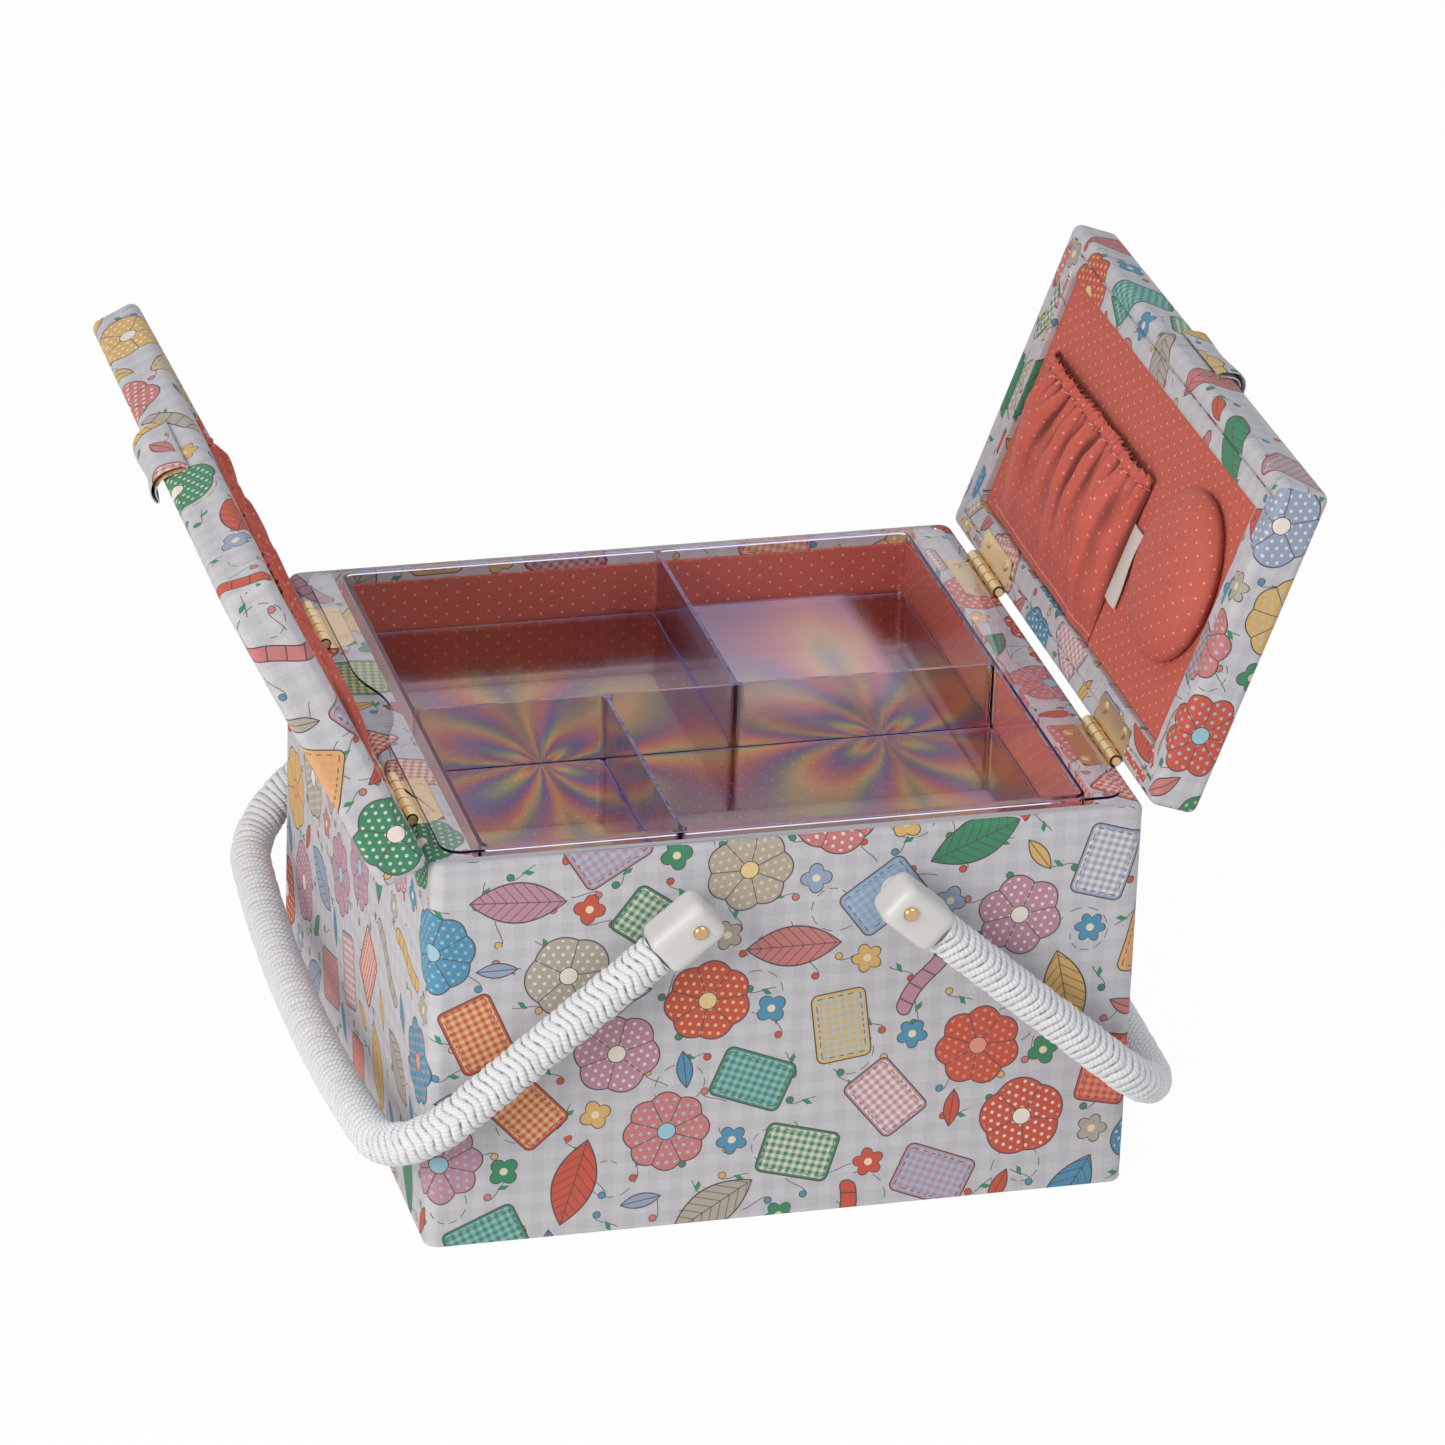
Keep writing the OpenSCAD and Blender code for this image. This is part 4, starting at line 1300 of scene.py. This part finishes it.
def build_pincushion():
    """A tightly stuffed round cushion, puckered where it is sewn down, with painted shade darkening its
    foot.
    """
    low, high = shut_box("pincushion")
    middle, radius = (low + high) / 2, (high.x - low.x) / 2
    stuffed, around, rings = 0.72, 120, 44
    sag_size, pucker_size, pucker_fade, dome_slack = 0.012, 0.02, 5, 0.55
    tall = (high.z - low.z) * stuffed
    rng = np.random.default_rng(3)
    angles = np.linspace(0, TURN, around, endpoint=False)
    pucker = added_waves(rng, angles, 0.3, (17, 23, 29, 34), 3)
    sag = added_waves(rng, angles, 0.4, (2, 3), 2)
    share, level = cushion_profile(rings)
    climbed = np.cumsum(np.hypot(np.diff(share * radius), np.diff(level * tall)))
    flat_reach = radius + tall * dome_slack - np.append(0, climbed[:-1])[:, None]
    share, level = share[:-1, None], level[:-1, None]
    reach = share * (1 + sag_size * sag) - pucker_size * pucker * np.exp(-level * pucker_fade)
    reach = np.minimum(radius * reach, radius)

    x, y = middle.x + reach * np.cos(angles), middle.y + reach * np.sin(angles)
    points = np.stack([x, y, PANEL_Z - level * tall + 0 * x], axis=-1).reshape(-1, 3)
    flat = np.stack([flat_reach * np.sin(angles), flat_reach * np.cos(angles)], axis=-1).reshape(-1, 2)
    top = len(points)
    last = top - around
    ring = [(i, (i + 1) % around) for i in range(around)]
    faces = grid_faces(around, rings - 1, closed=True)
    faces += [(last + here, last + beyond, top) for here, beyond in ring]
    faces += [(beyond, here, top + 1) for here, beyond in ring]
    centres = [(middle.x, middle.y, PANEL_Z - tall), (middle.x, middle.y, PANEL_Z)]
    cushion = make_mesh("pincushion_pad", [*points, *centres], faces)
    lay_on_cloth(cushion, [*flat, (0, 0), (0, 0)])
    # Painted shade that darkens the cushion towards its foot, in the crease where it is sewn down.
    set_painted_shade(cushion, np.append(np.repeat(np.exp(-level * 9) * 0.75, around), (0, 0)))
    turn_outwards(cushion)
    smooth(cushion, 60)
    open_out(cushion, 1)
    dress(cushion, "right_lid", "coral_cloth", "pincushion")


def fold_grid(columns, rows):
    """A folded sheet's share of its width, share of its length, and climb from its sewn ends
    to the fold half-way."""
    u, s = np.linspace(0, 1, columns)[None, :], np.linspace(0, 1, rows)[:, None]
    return u, s, np.abs(2 * s - 1)


def build_side_tag():
    """A blank folded ribbon, caught in the pocket's front seam along its long side."""
    low, high = shut_box("side_tag")
    wide, long = high.y - low.y, high.x - low.x
    u, s, fold = fold_grid(30, 34)
    stand, lift, half_gap, sway = 0.9 * MM, 1 * MM, 0.35 * MM, 0.5 * MM
    tucked_in, spare_reach = 3.5 * MM, 4.5 * MM
    out = 1 - fold ** 1.6
    height = stand + lift * np.sin(out * math.pi / 2) * (0.5 + 0.5 * u)
    gap = np.where(s < 0.5, half_gap, -half_gap) * np.sin(out * math.pi)
    ripple = sway * out
    y = high.y + tucked_in - out * (wide + spare_reach) + ripple * np.sin(u * 4 + 1)
    tag = sheet_mesh(
        "blank_side_tag", low.x + u * long, y, PANEL_Z - height - gap - ripple * np.sin(u * 5),
        u * long, s * 2 * wide)
    thicken(tag, 0.25 * MM, 1)
    dress(tag, "right_lid", "white_cloth", "side_tag")
    flatten(tag, 1, (low.x, 0, PANEL_Z))


def tab_line(side, low_z, climb):
    """The path of a pull tab's middle, up the lid's edge and over its top, and the way across it."""
    face, top = LID_LOW.x, LID_HIGH.z
    stand = MM if side < 0 else 0.5 * MM
    path_x = [face + step * MM for step in (-0.4, -1.5, -1.9, 0.6, 4.5, 9)]
    path_z = [low_z + 3 * MM, top - 8 * MM, top - 1 * MM]
    path_z += [top + step * stand for step in (3.4, 5.4, 4.6)]
    share = [0, 0.28, 0.5, 0.68, 0.83, 1]
    fine = np.linspace(0, 1, 401)
    curve_x, curve_z = soft_steps(fine, share, path_x, 61), soft_steps(fine, share, path_z, 61)
    middle_x, middle_z, way_x, way_z = (
        np.interp(climb, fine, curve)
        for curve in (curve_x, curve_z, np.gradient(curve_x), np.gradient(curve_z)))
    size = np.hypot(way_x, way_z)
    return middle_x, middle_z, -way_z / size, way_x / size


def build_pull_tab(side):
    """A folded loop of the printed cloth, sewn to the free edge of a lid; it goes over the edge
    and hangs down the outer face."""
    name = SIDES[side]
    low, high = shut_box("right_pull_tab")
    u, s, fold = fold_grid(44, 71)
    climb = 1 - fold
    middle_x, middle_z, off_x, off_z = tab_line(side, low.z, climb)
    half_gap, belly, sway, nose_start = 0.55 * MM, 0.7 * MM, 0.7 * MM, 0.96
    front, face = np.exp(-u * 2.2), np.where(s < 0.5, 1, -1)
    nose = np.sqrt(1 - rise(climb - nose_start, 1 - nose_start) ** 2)
    apart = (half_gap + belly * front * np.sin(climb * math.pi)) * nose * face
    off = apart + sway * np.sin(u * 6.5 + climb * 2.5) * climb
    curl, droop, lean, spare_end, spare_side = 1.5 * MM, 1.2 * MM, 4 * MM, 5 * MM, 4 * MM
    half = (high.y - low.y) / 2 + spare_side
    loop = 2 * (high.z - low.z + spare_end)
    cut_x, cut_y = 0.31, 0.07
    tab = sheet_mesh(
        name + "_tab_cloth",
        middle_x + off_x * off + curl * (1 - front) * climb ** 3,
        -half + u * 2 * half - lean * (1 - 0.6 * climb) * front + curl * climb,
        middle_z + off_z * off - droop * (u - 0.5) * climb ** 2,
        cut_x + 2 * half * u, cut_y + s * loop)
    thicken(tab, 0.45 * MM, side)
    dress(tab, name + "_lid", "printed_cloth", name + "_pull_tab")
    flatten(tab, side, (LID_LOW.x, 0, low.z))


class SEWINGBOX_OT_pockets(bpy.types.Operator):
    """Build the gathered pockets inside both lids"""

    bl_idname = "sewingbox.pockets"
    bl_label = "Pockets"

    def execute(self, context):
        for side in SIDES:
            build_pocket(side)
        return {"FINISHED"}


class SEWINGBOX_OT_pincushion(bpy.types.Operator):
    """Build the pincushion and the blank side tag"""

    bl_idname = "sewingbox.pincushion"
    bl_label = "Pincushion and tag"

    def execute(self, context):
        build_pincushion()
        build_side_tag()
        return {"FINISHED"}


class SEWINGBOX_OT_pull_tabs(bpy.types.Operator):
    """Build the pull tabs of both lids"""

    bl_idname = "sewingbox.pull_tabs"
    bl_label = "Pull tabs"

    def execute(self, context):
        for side in SIDES:
            build_pull_tab(side)
        return {"FINISHED"}


# ---- handles ----

CAP_R = 5 * MM


class SEWINGBOX_Handles(bpy.types.PropertyGroup):
    """Sizes of the wrapped handles."""

    corner_radius: bpy.props.FloatProperty(
        name="Corner radius", description="Radius of a handle's corners, to the middle of the cord",
        default=36 * MM, unit="LENGTH")
    bow: bpy.props.FloatProperty(
        name="Bow", description="How far the crossbar bows outwards",
        default=5.7 * MM, unit="LENGTH")
    rib_pitch: bpy.props.FloatProperty(
        name="Rib pitch", description="Distance from one turn of the cord to the next",
        default=3.6 * MM, unit="LENGTH")
    rib_height: bpy.props.FloatProperty(
        name="Rib height", description="Depth of the grooves between the turns",
        default=1.5 * MM, unit="LENGTH")


def handle_place(side):
    """A handle's own axes in the frame: out along its arms, across the box, and up from its plane."""
    name = SIDES[side]
    pivot = Vector(JOINTS[name + "_handle_pivot"]["pos_m"])
    near_middle = 15 * MM
    points = node_points(name + "_handle_wrap", Matrix())
    low, high = corners([point for point in points if abs(point.y) < near_middle])
    out = ((low + high) / 2 - pivot).normalized()
    across = Vector((0, side, 0))
    return axes_matrix(out, across, out.cross(across), pivot)


def axes_matrix(x, y, z, place):
    """The matrix of three axes at a place."""
    matrix = Matrix((x, y, z)).transposed().to_4x4()
    matrix.translation = place
    return matrix


def handle_line(side, step):
    """Points and directions along the middle of a wrapped handle, front arm to back arm."""
    sizes = bpy.context.scene.sewing_handles
    points = np.array(node_points(SIDES[side] + "_handle_wrap", handle_place(side).inverted()))
    low, high = points.min(axis=0), points.max(axis=0)
    radius = (high[2] - low[2]) / 2
    start, reach, arm_y = low[0], high[0] - radius, high[1] - radius
    corner, bow = sizes.corner_radius, sizes.bow
    corner_x, corner_y = reach - corner - bow, arm_y - corner
    bow_r = (corner_y ** 2 + (corner + bow) ** 2 - corner ** 2) / (2 * bow)
    bow_angle = math.asin(corner_y / (bow_r - corner))
    line = [(start + t * (corner_x - start), -arm_y) for t in np.linspace(0, 1, 40, endpoint=False)]
    line += [(corner_x + corner * math.cos(a), -corner_y + corner * math.sin(a))
             for a in np.linspace(-math.pi / 2, -bow_angle, 60, endpoint=False)]
    line += [(reach - bow_r + bow_r * math.cos(a), bow_r * math.sin(a))
             for a in np.linspace(-bow_angle, 0, 60)]
    line = np.array(line)
    line = np.vstack([line, (line * (1, -1))[::-1][1:]])
    lengths = np.append(0, np.cumsum(np.linalg.norm(np.diff(line, axis=0), axis=1)))
    stations = np.linspace(0, lengths[-1], int(lengths[-1] / step) + 1)
    places = np.stack([np.interp(stations, lengths, line[:, i]) for i in (0, 1)], axis=1)
    ways = np.gradient(places, axis=0)
    ways /= np.linalg.norm(ways, axis=1)[:, None]
    return stations, places, ways, radius


TURN_SAMPLES = 7


def cord_turns(stations, angles, pitch):
    """The winding at each point of a handle: the count of turns, how near the gap between two
    of them is, the small slots there, and how far the cord swells."""
    seam, bend, near_lean, far_lean = 0.45, 0.9, 0.75, 0.3
    s, a = np.meshgrid(stations, angles, indexing="ij")
    from_seam = np.abs((a - seam + math.pi) % TURN - math.pi)
    lean = np.minimum(from_seam, bend) * near_lean - np.maximum(from_seam - bend, 0) * far_lean
    waves, stations_a_knot = 9, 6
    rng = np.random.default_rng(7)
    rough = rng.normal(0, 1, (len(stations) // stations_a_knot + 3, waves))
    knots = np.arange(len(rough)) * pitch * stations_a_knot / TURN_SAMPLES
    wobble = sum(np.interp(s, knots, rough[:, wave]) * np.cos(a * (wave // 2) + wave) / 3
                 for wave in range(waves))
    turns = s / pitch + lean + wobble * 0.09
    groove = 1 - np.abs(np.sin(math.pi * turns))
    near_row, far_row = 0.42, 1.15
    rows = bell(from_seam - near_row, 0.13) + bell(from_seam - far_row, 0.15)
    whole = np.floor(turns + 0.5)
    chance = 0.55 + 0.45 * np.sin(whole * 2.4 + (from_seam > 0.8) * 1.9 + (a > seam) * 1.1)
    slot = rows * groove ** 3 * chance
    swell = 0.22 * MM * np.sin(whole * 1.7 + np.cos(a) * 1.3)
    return turns, groove, slot, wobble * 0.12 * MM + np.minimum(swell, 0.1 * MM)


def build_wrap(side):
    """The cord wound round a handle: close turns that lean both ways from the side that shows,
    with rows of small openings between them."""
    sizes = bpy.context.scene.sewing_handles
    name = SIDES[side]
    sides, slot_depth = 44, 1.1 * MM
    stations, places, ways, radius = handle_line(side, sizes.rib_pitch / TURN_SAMPLES)
    angles = np.linspace(0, TURN, sides, endpoint=False)
    turns, groove, slot, swell = cord_turns(stations, angles, sizes.rib_pitch)
    rib = np.sqrt(np.clip(1 - groove ** 2, 0, 1))
    r = radius - ((1 - rib) * sizes.rib_height + slot * slot_depth) + swell
    beside = np.cos(angles) * r
    x, y = places[:, 0, None] + ways[:, 1, None] * beside, places[:, 1, None] - ways[:, 0, None] * beside
    points = np.stack([x, y, np.sin(angles) * r], axis=-1).reshape(-1, 3)
    matrix = handle_place(side)
    faces = grid_faces(sides, len(stations), closed=True)
    last = (len(stations) - 1) * sides
    faces += [tuple(range(sides)), tuple(last + j for j in reversed(range(sides)))]
    wrap = make_mesh(name + "_handle_cord", [matrix @ Vector(point) for point in points], faces)
    # Painted shade in the grooves between the turns and, darker, in the slots.
    set_painted_shade(wrap, 0.75 * groove ** 2.6 + slot * 0.8)
    layer = wrap.data.uv_layers.new(name="cloth")
    step = TURN / sides
    for face in wrap.data.polygons:
        seam = {index % sides for index in face.vertices} == {0, sides - 1}
        for loop in face.loop_indices:
            index = wrap.data.loops[loop].vertex_index
            angle = index % sides * step or (TURN if seam else 0)
            layer.data[loop].uv = angle * radius, turns.flat[index]
    turn_outwards(wrap)
    smooth(wrap, 60)
    dress(wrap, name + "_handle", "white_cord", name + "_handle_wrap")


def build_cap(side, node):
    """A moulded end cap with broad soft edges."""
    place = handle_place(side)
    cap = add_block(node + "_shell", *corners(node_points(node, place.inverted())))
    round_edges(cap, CAP_R, 6, profile=0.55)
    smooth_flats(cap, 60)
    cap.data.transform(place)
    dress(cap, SIDES[side] + "_handle", "white_plastic", node)


def build_rivets(side):
    """The polished domes that hold a handle's two caps."""
    name = SIDES[side]
    low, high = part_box(name + "_pivot_screws")
    middle, radius = (low + high) / 2, (high.z - low.z) / 2
    sunk, flatness = 1.8 * MM, 0.62
    domes = []
    for y in (low.y + sunk, high.y - sunk):
        deselect()
        bpy.ops.mesh.primitive_uv_sphere_add(
            segments=32, ring_count=16, radius=radius, location=(middle.x, y, middle.z),
            rotation=(math.pi / 2, 0, 0), scale=(1, 1, flatness))
        domes.append(freeze(bpy.context.object))
    choose(domes[0])
    domes[1].select_set(True)
    bpy.ops.object.join()
    rivets = bpy.context.object
    rivets.name = name + "_pivot_domes"
    smooth(rivets, 60)
    dress(rivets, "box", "brass", name + "_pivot_screws")


class SEWINGBOX_OT_handles(bpy.types.Operator):
    """Build the wound cord, caps, domes, cores and spacers of both handles"""

    bl_idname = "sewingbox.handles"
    bl_label = "Handles"

    def execute(self, context):
        for side, name in SIDES.items():
            build_wrap(side)
            build_cap(side, name + "_front_cap")
            build_cap(side, name + "_back_cap")
            build_rivets(side)
            fine_copy(name + "_spacers", 0.3 * MM, "white_plastic")
            fine_copy(name + "_handle_core", 0, "white_plastic")
        return {"FINISHED"}


# ---- stage ----

class SEWINGBOX_Stage(bpy.types.PropertyGroup):
    """The camera and the lights."""

    azimuth: bpy.props.FloatProperty(
        name="Azimuth", description="Turn of the camera round the box",
        default=math.radians(-15.4316), unit="ROTATION")
    elevation: bpy.props.FloatProperty(
        name="Elevation", description="Angle of the camera above the horizon",
        default=math.radians(25.4032), unit="ROTATION")
    roll: bpy.props.FloatProperty(
        name="Roll", description="Tilt of the camera about its line of sight",
        default=math.radians(2.0993), unit="ROTATION")
    distance: bpy.props.FloatProperty(
        name="Distance", description="From the camera to the point it looks at",
        default=3.0279, unit="LENGTH")
    target: bpy.props.FloatVectorProperty(
        name="Target", description="The point that the camera looks at",
        default=(0.0083558, 0.0, 0.1500271), subtype="XYZ", unit="LENGTH")
    lens: bpy.props.FloatProperty(
        name="Lens", description="Focal length in millimetres for a 36 mm wide picture",
        default=186.5)
    ambient: bpy.props.FloatProperty(
        name="Ambient", description="Strength of the even light from all round",
        default=0.44, min=0)
    key: bpy.props.FloatProperty(
        name="Key light", description="Power of the large lamp at the left",
        default=28.0, unit="POWER")
    top: bpy.props.FloatProperty(
        name="Top light", description="Power of the lamp above the right-hand front",
        default=6.0, unit="POWER")


def build_camera(sizes):
    """The camera, turned by hand so that its roll is exact."""
    az, el = sizes.azimuth, sizes.elevation
    back = Vector((math.sin(az) * math.cos(el), -math.cos(az) * math.cos(el), math.sin(el)))
    right = (-back).cross(Vector((0, 0, 1))).normalized()
    up = right.cross(-back)
    c, s = math.cos(sizes.roll), math.sin(sizes.roll)
    right, up = c * right + s * up, -s * right + c * up
    data = bpy.data.cameras.new("camera")
    data.lens, data.sensor_width = sizes.lens, 36
    data.clip_start, data.clip_end = 0.1, 50
    camera = link(bpy.data.objects.new("camera", data))
    camera.matrix_world = axes_matrix(right, up, back, Vector(sizes.target) + back * sizes.distance)
    bpy.context.scene.camera = camera


def build_lamp(name, place, aim, size, power, colour):
    """A round lamp that looks at a point."""
    data = bpy.data.lights.new(name, "AREA")
    data.shape, data.size, data.energy, data.color = "DISK", size, power, colour
    lamp = link(bpy.data.objects.new(name, data))
    lamp.location = place
    lamp.rotation_euler = (Vector(aim) - Vector(place)).to_track_quat("-Z", "Y").to_euler()


def build_world(sizes):
    """Even light from all round, which shows as white."""
    paint = Paint("studio", world=True)
    strength = paint.choose(paint.seen(), sizes.ambient, 1.0)
    bpy.context.scene.world = paint.done(paint.node("Background", None, (1, 1, 1, 1), strength))


def floor_finish():
    """A white sweep that shows to the camera as white and keeps a soft shadow."""
    paint = Paint("floor")
    matt = paint.node("BsdfDiffuse", None, linear(252, 250, 247))
    white = paint.node("Emission", None, (1, 1, 1, 1), 1.0)
    share = 0.96
    return paint.done(paint.node("MixShader", None, paint.seen() * share, matt, white))


class SEWINGBOX_OT_stage(bpy.types.Operator):
    """Build the floor, the lamps, the world and the camera"""

    bl_idname = "sewingbox.stage"
    bl_label = "Stage"

    def execute(self, context):
        sizes = context.scene.sewing_stage
        deselect()
        bpy.ops.mesh.primitive_plane_add(size=40)
        floor = bpy.context.object
        floor.name = "floor"
        floor.data.materials.append(floor_finish())
        build_camera(sizes)
        build_world(sizes)
        build_lamp("key", place=(-1.7, -1.1, 0.95), aim=(0, 0, 0.12),
                   size=1.2, power=sizes.key, colour=(1.0, 0.95, 0.89))
        build_lamp("top", place=(0.65, -0.75, 1.45), aim=(0.15, 0, 0.25),
                   size=0.9, power=sizes.top, colour=(0.94, 0.98, 1.0))
        context.scene.view_settings.view_transform = "Standard"
        return {"FINISHED"}


# ---- the add-on ----

OPERATORS = (
    SEWINGBOX_OT_stage,
    SEWINGBOX_OT_carcass,
    SEWINGBOX_OT_linings,
    SEWINGBOX_OT_lids,
    SEWINGBOX_OT_pockets,
    SEWINGBOX_OT_pincushion,
    SEWINGBOX_OT_pull_tabs,
    SEWINGBOX_OT_hinges,
    SEWINGBOX_OT_tray,
    SEWINGBOX_OT_handles,
)
GROUPS = {
    "sewing_soft": SEWINGBOX_Soft,
    "sewing_handles": SEWINGBOX_Handles,
    "sewing_stage": SEWINGBOX_Stage,
}


class SEWINGBOX_PT_panel(bpy.types.Panel):
    """Lists the box's pieces and sizes"""

    bl_idname = "SEWINGBOX_PT_panel"
    bl_label = "Sewing Box"
    bl_space_type = "VIEW_3D"
    bl_region_type = "UI"
    bl_category = "Sewing Box"

    def draw(self, context):
        layout = self.layout
        for name, group in GROUPS.items():
            sizes = getattr(context.scene, name)
            box = layout.box()
            for size in group.__annotations__:
                box.prop(sizes, size)
        for operator in OPERATORS:
            layout.operator(operator.bl_idname)


CLASSES = (*GROUPS.values(), *OPERATORS, SEWINGBOX_PT_panel)


def register():
    for cls in CLASSES:
        bpy.utils.register_class(cls)
    for name, group in GROUPS.items():
        setattr(bpy.types.Scene, name, bpy.props.PointerProperty(type=group))


def unregister():
    for name in GROUPS:
        delattr(bpy.types.Scene, name)
    for cls in reversed(CLASSES):
        bpy.utils.unregister_class(cls)


def main():
    """Builds every piece and the stage."""
    register()
    for operator in OPERATORS:
        family, action = operator.bl_idname.split(".")
        getattr(getattr(bpy.ops, family), action)()


if __name__ == "__main__":
    main()
